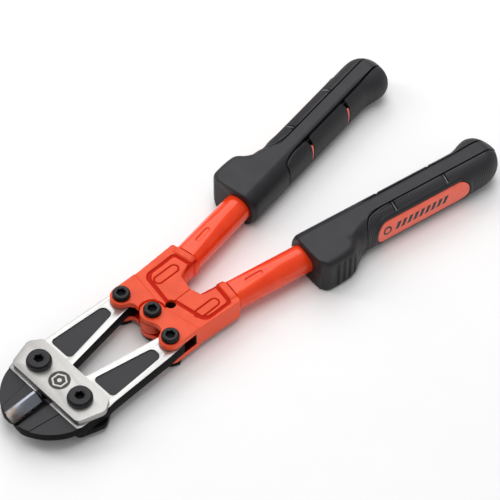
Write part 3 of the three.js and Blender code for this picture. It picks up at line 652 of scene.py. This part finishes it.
def jaw_bolt(node, material):
    """Low head with a serrated flange of 40 teeth and a raised middle."""
    low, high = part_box(node)
    centre, top = (low + high) / 2, high.z / MM
    seat = top - 3.7
    teeth = 7.3 + 0.5 * np.cos(RING_ANGLES * 40)
    rings = shank_rings(JAW_SHANK, low.z / MM, seat) + [
        (teeth - 0.25, seat), (teeth, seat + 0.25), (teeth, seat + 1.95), (teeth * 0.5 + 3.5, seat + 2.1),
        (6.8, seat + 2.2), (6.7, seat + 2.35), (6.8, seat + 2.5), (6.9, seat + 2.65), (6.9, seat + 3.35),
        (6.82, seat + 3.52), (6.65, seat + 3.65), (6.4, seat + 3.7), (5.6, seat + 3.7), (4.6, seat + 3.7),
    ]
    ring_stack(node, centre, rings + socket_rings(top, 4.2), material)


def pivot_bolt(node, material):
    """Round head with a well rounded shoulder. Its socket stays in the head, for the shank is hardly
    wider than the socket's corners."""
    low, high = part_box(node)
    centre, top = (low + high) / 2, high.z / MM
    seat = top - 3.2
    rings = shank_rings(PIVOT_SHANK, low.z / MM, seat)
    rings += [(5.35, seat), (5.55, seat + 0.2), (5.6, seat + 0.5)]
    shoulder = 1.9
    for step in range(9):
        turn = step / 8 * math.pi / 2
        rings.append((5.6 - shoulder * 0.75 * (1 - math.cos(turn)), top - shoulder * (1 - math.sin(turn))))
    rings.append((3.6, top))
    ring_stack(node, centre, rings + socket_rings(top, 2.9), material)


def nut(node, across_flats, shank, material):
    """Nut round a shank, with chamfered corners; across_flats 0 makes a round one."""
    low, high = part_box(node)
    centre, bottom, top = (low + high) / 2, low.z / MM, high.z / MM
    bore = shank + 0.3
    outer = hexagon_radius(across_flats) if across_flats else np.full(AROUND, (high.x - low.x) / 2 / MM)
    inscribed = outer.min()
    rings = [
        (bore, bottom + 0.3), (bore + 0.35, bottom), (inscribed - 0.25, bottom),
        (np.minimum(outer, inscribed + 0.12), bottom + 0.35), (outer, bottom + 0.9),
        (outer, top - 0.3), (outer - 0.2, top), (bore, top),
    ]
    vertices = ring_points(centre, rings)
    faces = loop_faces(len(rings), AROUND)
    stand_in(new_piece(f"{node}_fine", vertices, faces, material, 32), node)


# ---------------- handles
TUBE_START, TUBE_END = 25.5, 214.0      # stations along a handle
TUBE_RADIUS, TUBE_BORE = 9.5, 7.3


class Handle:
    """The straight frame of one handle: stations along the tube, outward from the tool, and up."""

    def __init__(self, side):
        points = np.array([v.co for v in frame["nodes"][f"tube_{side}"].data.vertices])
        middle = points.mean(axis=0)
        self.along = np.linalg.svd(points - middle)[2][0]
        self.along *= np.sign(self.along[1])
        self.along[2] = 0
        self.along /= np.linalg.norm(self.along)
        first = ((points - middle) @ self.along).min()
        self.start = middle + self.along * (first - TUBE_START * MM)
        self.start[2] = HEAD.z
        self.outward = SIDES[side] * np.array([self.along[1], -self.along[0], 0])

    def place(self, points):
        """Points of (outward, station, up) in millimetres, as world points in metres."""
        local = np.asarray(points) * MM
        up = np.array([0, 0, 1.0])
        return self.start + local[..., :1] * self.outward + local[..., 1:2] * self.along + local[..., 2:] * up


HANDLES = {side: Handle(side) for side in SIDES}


def smoothstep(value, low, high):
    share = np.clip((value - low) / (high - low), 0, 1)
    return share * share * (3 - 2 * share)


def tube(side, material):
    """Steel tube, pinched flatter where it enters the casting, with a pressed dimple above and below."""
    columns = 144
    stations = np.concatenate([
        [TUBE_START, TUBE_START + 0.15, TUBE_START + 0.5], np.arange(26.5, 33.5, 1.0),
        np.arange(33.5, 49.8, 0.3), np.arange(51, 78, 1.5), [80, 150, TUBE_END],
    ])
    angles = np.arange(columns) * 2 * math.pi / columns
    rows = []
    for station in stations:
        lip = 0.35 * (1 - smoothstep(station, TUBE_START, TUBE_START + 0.5))
        flat = 8.3 + 1.2 * smoothstep(station, TUBE_START, 58)
        x = (TUBE_RADIUS - lip) * np.cos(angles)
        z = (TUBE_RADIUS - lip) * np.sin(angles)
        over = np.maximum(np.abs(z) - flat + 1, 0)
        pinched = np.sign(z) * (np.minimum(np.abs(z), flat - 1) + np.tanh(over))
        z = pinched + (z - pinched) * smoothstep(station, 48, 62)
        reach = max(0.0, abs(station - 41.5) - 4.7)
        beside = np.sqrt(x ** 2 + reach ** 2)
        sunk = 0.95 * (1 - smoothstep(beside, 1.0, 1.75))
        z = np.sign(z) * (np.abs(z) - sunk)
        rows.append(np.stack([x, np.full(columns, station), z], axis=1))
    inside = [
        np.stack([TUBE_BORE * np.cos(angles), np.full(columns, station), TUBE_BORE * np.sin(angles)], axis=1)
        for station in (TUBE_END, TUBE_START)
    ]
    points = np.array(rows + inside)
    faces = loop_faces(len(points), columns)
    vertices = HANDLES[side].place(points.reshape(-1, 3))
    stand_in(new_piece(f"tube_{side}_fine", vertices.tolist(), faces, material, 50), f"tube_{side}")


# ---------------- grips
GRIP_START, GRIP_END = 77.4, 226.4
GRIP_TOP = 14.4                          # the flat spine's height
SPINE_OUTER, SPINE_INNER = 2.2, -6.6     # its two long edges
INNER_SQUARENESS = 2.35
SKIN_TOP, SKIN_BOTTOM = 15.0, 14.2        # half heights of a full section, before its top is cut flat
TOP_ROUNDING_START, UNDERSIDE_ROUNDING_START = 214.0, 201.0
PANEL_MARGINS = {"outer": 0.55, "inner": 0.9}    # widths of the parting grooves
RIB_PITCH = 1.45
SLITS = (141.5, 181.5)
OUTER_SLIT_SHIFT = 1.2
GROOVE_FROM, GROOVE_TO = 122, 134        # the parting grooves' painted shade turns black between these stations
LABEL = (126.0, 198.0, -8.8, 9.4, 8.2)   # stations, heights and corner radius of a label's outline

# Stations of a grip: along, outer half width, inner half width, outer squareness, sweep.
GRIP_STATIONS = np.array([
    [GRIP_START, 19.6, 12.2, 7, 1.2], [78.9, 21.6, 13.3, 8, 1.1], [82.5, 22.8, 13.6, 8, 0.7],
    [88, 22.9, 13.6, 8, 0.2], [94, 22.7, 13.6, 7.5, 0], [100, 22.2, 13.6, 6.5, 0],
    [104, 21.1, 13.6, 5, 0], [108, 18.5, 13.6, 3.8, 0], [112, 15.9, 13.6, 3.2, 0],
    [116, 14.5, 13.6, 2.8, 0], [121, 13.7, 13.6, 2.45, 0], [140, 13.6, 13.6, 2.3, 0],
    [185, 13.6, 13.6, 2.3, 0], [200, 13.6, 13.7, 2.3, 0], [205.5, 13.65, 15.1, 2.3, 0],
    [210.5, 13.65, 17.2, 2.3, 0], [215.5, 13.1, 18.4, 2.3, 0], [219.5, 11.7, 17.7, 2.3, 0],
    [223, 9.5, 15.7, 2.3, 0], [225.2, 7.3, 12.9, 2.3, 0], [GRIP_END, 4.5, 9.7, 2.3, 0],
])


def smooth_through(xs, ys):
    """A smooth curve through points that never overshoots them, as a function."""
    steps = np.diff(xs)
    slopes = np.diff(ys) / steps
    tangents = np.zeros_like(ys)
    for k in range(1, len(ys) - 1):
        if slopes[k - 1] * slopes[k] > 0:
            before, after = 2 * steps[k] + steps[k - 1], steps[k] + 2 * steps[k - 1]
            tangents[k] = (before + after) / (before / slopes[k - 1] + after / slopes[k])
    tangents[0], tangents[-1] = slopes[0], slopes[-1]

    def value(x):
        k = int(np.clip(np.searchsorted(xs, x) - 1, 0, len(steps) - 1))
        s = (x - xs[k]) / steps[k]
        ends = ys[k] * (1 + 2 * s) * (1 - s) ** 2 + ys[k + 1] * s * s * (3 - 2 * s)
        return ends + steps[k] * (tangents[k] * s * (1 - s) ** 2 - tangents[k + 1] * s * s * (1 - s))

    return value


OUTER, INNER, SQUARENESS, SWEEP = (
    smooth_through(GRIP_STATIONS[:, 0], GRIP_STATIONS[:, k]) for k in range(1, 5)
)


def section(station, x_from, x_to, through, shares):
    """Part of a grip's cross-section, as (outward, station, up) points at shares of its length. It
    runs from x_from to x_to by way of the top, inner, bottom or outer side."""
    outer, inner, squareness = OUTER(station), INNER(station), SQUARENESS(station)
    past_top = max(0.0, station - TOP_ROUNDING_START) / (GRIP_END - TOP_ROUNDING_START)
    past_under = max(0.0, station - UNDERSIDE_ROUNDING_START) / (GRIP_END - UNDERSIDE_ROUNDING_START)
    top, bottom = SKIN_TOP * (1 - 0.42 * past_top ** 2.2), SKIN_BOTTOM * (1 - 0.5 * past_under ** 1.6)
    rest = -HEAD.z / MM

    def angle(x, above):
        share = min(1.0, abs(x) / (outer if x > 0 else inner))
        turn = math.acos(math.copysign(share ** ((squareness if x > 0 else INNER_SQUARENESS) / 2), x))
        return turn if above else 2 * math.pi - turn

    start = angle(x_from, through in ("top", "inner"))
    end = angle(x_to, through in ("top", "outer"))
    if through == "outer":
        end += 2 * math.pi
    angles = np.linspace(start, end, 600)
    cos, sin = np.cos(angles), np.sin(angles)
    exponent = 2 / np.where(cos > 0, squareness, INNER_SQUARENESS)
    x = np.sign(cos) * np.abs(cos) ** exponent * np.where(cos > 0, outer, inner)
    z = np.sign(sin) * np.abs(sin) ** exponent * np.where(sin > 0, top, bottom)
    z = np.clip(z, rest, GRIP_TOP)
    length = np.concatenate([[0], np.cumsum(np.hypot(np.diff(x), np.diff(z)))])
    at = np.asarray(shares) * length[-1]
    x, z = np.interp(at, length, x), np.interp(at, length, z)
    back = SWEEP(station) * np.maximum(0, x / outer) ** 2
    return np.stack([x, station + back, z], axis=1)


def eased(count, ends=0.35):
    """Shares from 0 to 1, closer together at both ends."""
    even = np.linspace(0, 1, count)
    return even * (1 - ends) + ends * (0.5 - 0.5 * np.cos(math.pi * even))


def panel_front(side, margin):
    """Plan outline of a panel's front, as points (x, station) with x from the spine outwards."""
    spine = (SPINE_OUTER if side == "outer" else -SPINE_INNER) + margin
    corner, bend, end = (124, 116, 112.5) if side == "outer" else (116.5, 114.5, 114)
    curve = []
    corners = [
        ((spine, 140), (spine, corner + 5 + margin), (spine + 2.6, corner + margin)),
        ((spine + 2.6, corner + margin), (10.5, bend + margin), (30, end + margin)),
    ]
    for a, b, c in corners:
        for s in np.linspace(0, 1, 60):
            curve.append([(1 - s) ** 2 * a[k] + 2 * s * (1 - s) * b[k] + s * s * c[k] for k in (0, 1)])
    return np.array(curve)


def plan_distance(x, station, outline):
    """Distance inside a panel's plan outline; negative outside. x counts outwards from the spine."""
    line = np.concatenate([[[outline[0, 0], 260.0]], outline])
    best = np.full(x.shape, 1e9)
    for a, b in zip(line, line[1:]):
        d = b - a
        span = d @ d
        if span < 1e-12:
            continue
        s = np.clip(((x - a[0]) * d[0] + (station - a[1]) * d[1]) / span, 0, 1)
        best = np.minimum(best, np.hypot(x - a[0] - s * d[0], station - a[1] - s * d[1]))
    front = np.interp(x, outline[:, 0], outline[:, 1])
    inside = (x >= outline[0, 0]) & (station >= front)
    return np.where(inside, best, -best)


def label_distance(station, z):
    """Distance outside the label's rounded outline; negative inside."""
    y0, y1, z0, z1, radius = LABEL
    dy = np.abs(station - (y0 + y1) / 2) - (y1 - y0) / 2 + radius
    dz = np.abs(z - (z0 + z1) / 2) - (z1 - z0) / 2 + radius
    outside = np.hypot(np.maximum(dy, 0), np.maximum(dz, 0))
    return outside + np.minimum(np.maximum(dy, dz), 0) - radius


GUARD_GROOVES = (88.8, 93.3, 97.8, 102.3)


def core_depth(points):
    """How far the core is sunk: under the panels, in the hollow behind the guard, and in the grooves of
    the guard's outer side."""
    x, station, z = points[..., 0], points[..., 1], points[..., 2]
    outer = plan_distance(x, station, panel_front("outer", 0))
    inner = plan_distance(-x, station, panel_front("inner", 0))
    within = np.maximum(outer, inner)
    parting = smoothstep(within, 0.2, 0.5) * smoothstep(within, 1.8, 1.3)
    depth = 1.7 * smoothstep(within, 0.0, 0.4) + 0.5 * parting
    hollow = smoothstep(station, 101.5, 107) * smoothstep(station, 116, 110.5)
    depth = depth + 0.9 * hollow * smoothstep(x, 9.5, 13.5) * smoothstep(z, 1, 8)
    side = smoothstep(x, 13.5, 16.0) * smoothstep(z, 10.2, 9.2) * smoothstep(z, -10.5, -9.5)
    for at in GUARD_GROOVES:
        depth = np.maximum(depth, 0.95 * side * (1 - smoothstep(np.abs(station - at), 0.4, 1.15)))
    return depth


def grip_core(side, material):
    """Moulded core: guard, spine, and the bed under the panels, bored for the tube."""
    lip = 1.3
    stations = np.concatenate([
        np.linspace(GRIP_START, 88, 16), np.arange(88.35, 108, 0.35), np.arange(108, 142, 0.45),
        np.arange(143, 213, 3.5), np.linspace(214, GRIP_END, 22),
    ])
    spine, flank = eased(16, 0.5), eased(64, 0.5)
    pieces = (
        (SPINE_OUTER, SPINE_INNER, "top", spine), (SPINE_INNER, SPINE_INNER, "inner", flank),
        (SPINE_INNER, SPINE_OUTER, "bottom", spine), (SPINE_OUTER, SPINE_OUTER, "outer", flank),
    )
    skin = np.array([
        np.concatenate([section(station, *part)[:-1] for part in pieces]) for station in stations
    ])
    normals = surface_normals(skin, True)
    if (normals[:, :, 0] * skin[:, :, 0]).sum() < 0:
        normals = -normals
    skin = skin - normals * core_depth(skin)[..., None]
    columns = skin.shape[1]
    rolled = []
    first = skin[0]
    angles = np.arctan2(first[:, 2], first[:, 0])
    for step in range(5):
        turn = step / 5 * math.pi / 2
        inset = lip * (1 - math.sin(turn))
        scale = 1 - inset / np.hypot(first[:, 0], first[:, 2])
        ring = first.copy()
        ring[:, 0] *= scale
        ring[:, 2] *= scale
        ring[:, 1] += lip * (1 - math.cos(turn))
        rolled.append(ring)
    skin[:, :, 1] += lip * (1 - smoothstep(skin[:, :, 1], GRIP_START, 88))
    bore = TUBE_RADIUS + 0.3
    mouth = np.stack([bore * np.cos(angles), rolled[0][:, 1], bore * np.sin(angles)], axis=1)
    back = mouth.copy()
    back[:, 1] = TUBE_END + 0.5
    tail = skin[-1]
    heart = np.array([tail[:, 0].mean(), GRIP_END, tail[:, 2].mean()])
    caps = [heart + (tail - heart) * share for share in (0.9, 0.6, 0.3)]
    for ring in caps:
        ring[:, 1] = tail[:, 1]
    rings = np.concatenate([[back, mouth], rolled, skin, caps])
    faces = grid_faces(len(rings), columns, closed=True)
    vertices = rings.reshape(-1, 3).tolist()
    vertices.append([0, TUBE_END + 0.5, 0])
    vertices.append(list(heart))
    last = (len(rings) - 1) * columns
    for j in range(columns):
        after = (j + 1) % columns
        faces.append((len(vertices) - 2, after, j))
        faces.append((len(vertices) - 1, last + j, last + after))
    placed = HANDLES[side].place(np.array(vertices)).tolist()
    stand_in(new_piece(f"grip_core_{side}_fine", placed, faces, material, 40), f"grip_core_{side}")


def panel_grid(which, rows=372, columns=58):
    """A panel's place on the skin: rows run from its curved front edge back over the grip's end."""
    margin = PANEL_MARGINS[which]
    spine = (SPINE_OUTER + margin) if which == "outer" else (SPINE_INNER - margin)
    stations = np.arange(100, GRIP_END + 0.25, 0.5).clip(max=GRIP_END)
    shares = eased(columns, 0.45)
    skin = np.array([section(station, spine, spine, which, shares) for station in stations])
    if which == "inner":
        skin = skin[:, ::-1]
    outline = panel_front(which, margin)
    reach = np.abs(skin[:, :, 0])
    grid = np.zeros((rows, columns, 3))
    for j in range(columns):
        ahead = stations - np.interp(reach[:, j], outline[:, 0], outline[:, 1])
        k = int(np.argmax(ahead >= 0))
        share = ahead[k - 1] / (ahead[k - 1] - ahead[k])
        front = min(stations[k - 1] + share * (stations[k] - stations[k - 1]), 140.0)
        at = front + (GRIP_END - front) * np.linspace(0, 1, rows)
        for axis in (0, 2):
            grid[:, j, axis] = np.interp(at, stations, skin[:, j, axis])
        grid[:, j, 1] = at
    return grid, spine


def panel_depth(which, grid, distance):
    """Relief of a rubber panel: rounded rim, fine ribs, slits, and the label's frame and bed."""
    station, z = grid[..., 1], grid[..., 2]
    rim = 0.8
    near = np.clip(rim - np.maximum(distance, 0), 0, rim)
    depth = rim - np.sqrt(np.maximum(rim ** 2 - near ** 2, 0)) + 0.02
    ribbed = smoothstep(distance, 0.9, 1.6)
    if which == "outer":
        away = label_distance(station, z)
        ribbed = ribbed * smoothstep(away, 2.6, 3.0)
        frame_height = 0.5 * np.sin(np.clip((away - 0.25) / 2.35, 0, 1) * math.pi) ** 0.7
        depth = depth - frame_height
        depth = np.where(away < 0.25, 1.15, depth)
        for at in SLITS:
            beside = np.abs(station - at - OUTER_SLIT_SHIFT)
            slit = (1 - smoothstep(beside, 0.7, 1.15)) * smoothstep(away, 2.3, 2.7)
            bar = (1 - smoothstep(beside, 0.45, 0.6)) * smoothstep(away, 2.3, 2.7)
            depth = depth + (0.95 * slit - 0.85 * bar) * (1 - near / rim)
            ribbed = ribbed * smoothstep(beside, 1.2, 1.7)
    else:
        for at in SLITS:
            beside = np.abs(station - slit_centre(at, z)) - slit_half(z)
            ends = smoothstep(z, -10.5, -9.0)
            slit = (1 - smoothstep(beside, -0.2, 0.2)) * ends
            depth = depth + 1.25 * slit * (1 - near / rim)
            ribbed = ribbed * np.maximum(smoothstep(beside, 0.3, 0.8), 1 - ends)
    ribs = 0.5 - 0.5 * np.cos(station * 2 * math.pi / RIB_PITCH)
    return depth + 0.28 * ribs * ribbed


def slit_centre(at, z):
    """An inner panel's slit sweeps a little forward as it goes down."""
    return at + 0.6 - 0.9 * smoothstep(13.0 - z, 0, 24.0) - 0.9 * smoothstep(z, 8.5, 13.0)


def slit_half(z):
    """Half the width of an inner panel's slit, which narrows downwards."""
    return 0.75 + 0.45 * smoothstep(z, -8.0, 8.0) + 0.45 * smoothstep(z, 9.0, 13.5)


def skin_piece(node, side, grid, facing, outer_depth, inner_depth, material):
    """A piece let into a grip's skin in a node's place; facing is 1 on its outer side, -1 on its inner."""
    normals = surface_normals(grid, False)
    if (normals[:, :, 0] * facing).sum() < 0:
        normals = -normals
    vertices, faces = slab(grid, normals, outer_depth, inner_depth)
    placed = HANDLES[side].place(vertices).tolist()
    stand_in(new_piece(f"{node}_fine", placed, faces, material, 50), node)


def grip_panel(side, which, material):
    """Rubber panel wrapped round one side of the core, closed behind over the grip's end."""
    grid, spine = panel_grid(which)
    tail = grid[-1]
    closing = []
    for share in (0.3, 0.6, 0.85, 1.0):
        row = tail.copy()
        row[:, 0] = tail[:, 0] + (spine - tail[:, 0]) * share
        row[:, 2] = tail[:, 2] * (1 - 0.08 * share)
        closing.append(row)
    grid = np.concatenate([grid, closing])
    distance = plan_distance(np.abs(grid[..., 0]), grid[..., 1], panel_front(which, PANEL_MARGINS[which]))
    facing = 1 if which == "outer" else -1
    depth = panel_depth(which, grid, distance)
    skin_piece(f"grip_panel_{which}_{side}", side, grid, facing, depth, 1.5, material)


def skin_reach(half_width, squareness, z):
    """How far from its middle a grip's side is at a height."""
    height = SKIN_TOP if z > 0 else SKIN_BOTTOM
    return half_width * (1 - (abs(z) / height) ** squareness) ** (1 / squareness)


def label_insert(side, material):
    """Smooth insert let into the outer panel, with a softly rounded rim."""
    y0, y1, z0, z1, radius = LABEL
    gap = 0.12
    ends = (y1 - y0) * (0.5 - 0.5 * np.cos(np.linspace(0, math.pi, 90)))
    stations = y0 + gap + ends * (1 - 2 * gap / (y1 - y0))
    shares = eased(34, 0.6)
    grid = []
    for station in stations:
        into = min(station - y0 - gap, y1 - gap - station)
        corner = radius - gap
        cut = corner - math.sqrt(max(corner ** 2 - max(corner - into, 0) ** 2, 0))
        low, high = z0 + gap + cut, z1 - gap - cut
        outer, squareness = OUTER(station), SQUARENESS(station)
        heights = low + (high - low) * shares
        grid.append([[skin_reach(outer, squareness, z), station, z] for z in heights])
    grid = np.array(grid)
    rim = 0.5
    near = np.clip(rim + label_distance(grid[..., 1], grid[..., 2]) + gap, 0, rim)
    depth = 0.05 + rim - np.sqrt(np.maximum(rim ** 2 - near ** 2, 0))
    skin_piece(f"grip_label_insert_{side}", side, grid, 1, depth, 1.05, material)


def accent_strip(side, end, at, material):
    """Thin orange strip in the lower part of an inner panel's slit."""
    reach = 8.3
    heights = np.linspace(-reach, reach, 44)
    widths = np.linspace(-1, 1, 7)
    grid = []
    for z in heights:
        station = slit_centre(at, z)
        x = -skin_reach(INNER(station), INNER_SQUARENESS, z)
        taper = min(1.0, math.sqrt(max(0.0, reach - abs(z) + 0.05) / 0.7))
        half = (slit_half(z) - 0.3) * taper
        grid.append([[x, station - 0.15 + width * half, z] for width in widths])
    grid = np.array(grid)
    depth = np.broadcast_to(0.3 + 0.25 * widths ** 4, grid.shape[:2])
    skin_piece(f"grip_accent_strip_{end}_{side}", side, grid, -1, depth, 1.1, material)


# ---------------- camera, light and floor
def aim(thing, place, target):
    thing.location = place
    thing.rotation_mode = "QUATERNION"
    thing.rotation_quaternion = (Vector(target) - Vector(place)).to_track_quat("-Z", "Y")


def direction(azimuth, elevation):
    """From the object towards that bearing; azimuth 0 is -Y and 90 is +X."""
    a, e = math.radians(azimuth), math.radians(elevation)
    return Vector((math.sin(a) * math.cos(e), -math.cos(a) * math.cos(e), math.sin(e)))


def add_camera():
    camera = bpy.data.objects.new("camera", bpy.data.cameras.new("camera"))
    camera.data.sensor_width = 36
    camera.data.lens = 152.92
    camera.data.clip_start, camera.data.clip_end = 0.05, 20
    target = CENTRE_PIVOT + Vector((1.51, 79.76, 0)) * MM
    azimuth, elevation, distance = 46.09, 50.96, 1.3144
    aim(camera, target + direction(azimuth, elevation) * distance, target)
    bpy.context.scene.collection.objects.link(camera)
    bpy.context.scene.camera = camera


def add_light(name, azimuth, elevation, distance, size, energy, colour=(1, 1, 1)):
    lamp = bpy.data.lights.new(name, "AREA")
    lamp.shape = "RECTANGLE"
    lamp.size, lamp.size_y = size
    lamp.energy = energy
    lamp.color = colour
    light = bpy.data.objects.new(name, lamp)
    centre = Vector((0, 0.02, HEAD.z))
    aim(light, centre + direction(azimuth, elevation) * distance, centre)
    bpy.context.scene.collection.objects.link(light)


def add_world():
    world = bpy.data.worlds.new("studio")
    bpy.context.scene.world = world
    world.use_nodes = True
    background = world.node_tree.nodes["Background"]
    background.inputs["Color"].default_value = (1.0, 1.0, 1.0, 1.0)
    background.inputs["Strength"].default_value = 0.45


def add_floor():
    mesh = bpy.data.meshes.new("floor")
    half = 6.0
    corners = [(-half, -half, 0), (half, -half, 0), (half, half, 0), (-half, half, 0)]
    mesh.from_pydata(corners, [], [(0, 1, 2, 3)])
    floor = bpy.data.objects.new("floor", mesh)
    floor.location.z = -0.0004
    s = Shader("floor")
    s.set(Base_Color=s.mix(s.noise(60, 2), (0.90, 0.90, 0.90), (0.93, 0.93, 0.93)), Roughness=0.7)
    mesh.materials.append(s.material)
    bpy.context.scene.collection.objects.link(floor)


# ---------------- assembly
add_camera()
add_world()
add_floor()
add_light("key", -134, 52, 1.5, (1.1, 1.1), 8)
add_light("top", 0, 89, 1.4, (0.8, 0.8), 7)
add_light("side", -60, 40, 1.5, (0.3, 0.9), 4)
bpy.context.scene.view_settings.view_transform = "Standard"

CAST, ENAMEL, STRAP, OXIDE = cast_paint(), tube_paint(), strap_steel(), black_oxide()
# The lower strap gets the dark bolt steel made a fifth darker, so it reads darker than the upper strap.
DARK_STRAP_STEEL = black_oxide("dark_strap_steel", 0.8)
STRIP = orange_plastic()

edge_rounded("strap_top", STRAP, 0.45)
edge_rounded("strap_bottom", DARK_STRAP_STEEL, 0.45)
pivot_bolt("centre_bolt", OXIDE)
nut("centre_nut", PIVOT_NUT, PIVOT_SHANK, OXIDE)
for side in SIDES:
    edge_rounded(f"jaw_{side}", jaw_steel(side), 0.4)
    cast_skin(f"casting_{side}", CAST)
    jaw_bolt(f"jaw_bolt_{side}", black_oxide(f"serrated_oxide_{side}", 1.0, joint_at(f"{side}_jaw_pivot")))
    nut(f"jaw_nut_{side}", 0, JAW_SHANK, OXIDE)
    pivot_bolt(f"tail_bolt_{side}", OXIDE)
    nut(f"tail_nut_{side}", PIVOT_NUT, PIVOT_SHANK, OXIDE)
    tube(side, ENAMEL)
    grip_core(side, grip_plastic(side))
    grip_panel(side, "outer", grip_rubber(side, "outer"))
    grip_panel(side, "inner", grip_rubber(side, "inner"))
    label_insert(side, orange_plastic(side))
    for end, at in zip(("front", "rear"), SLITS):
        accent_strip(side, end, at, STRIP)
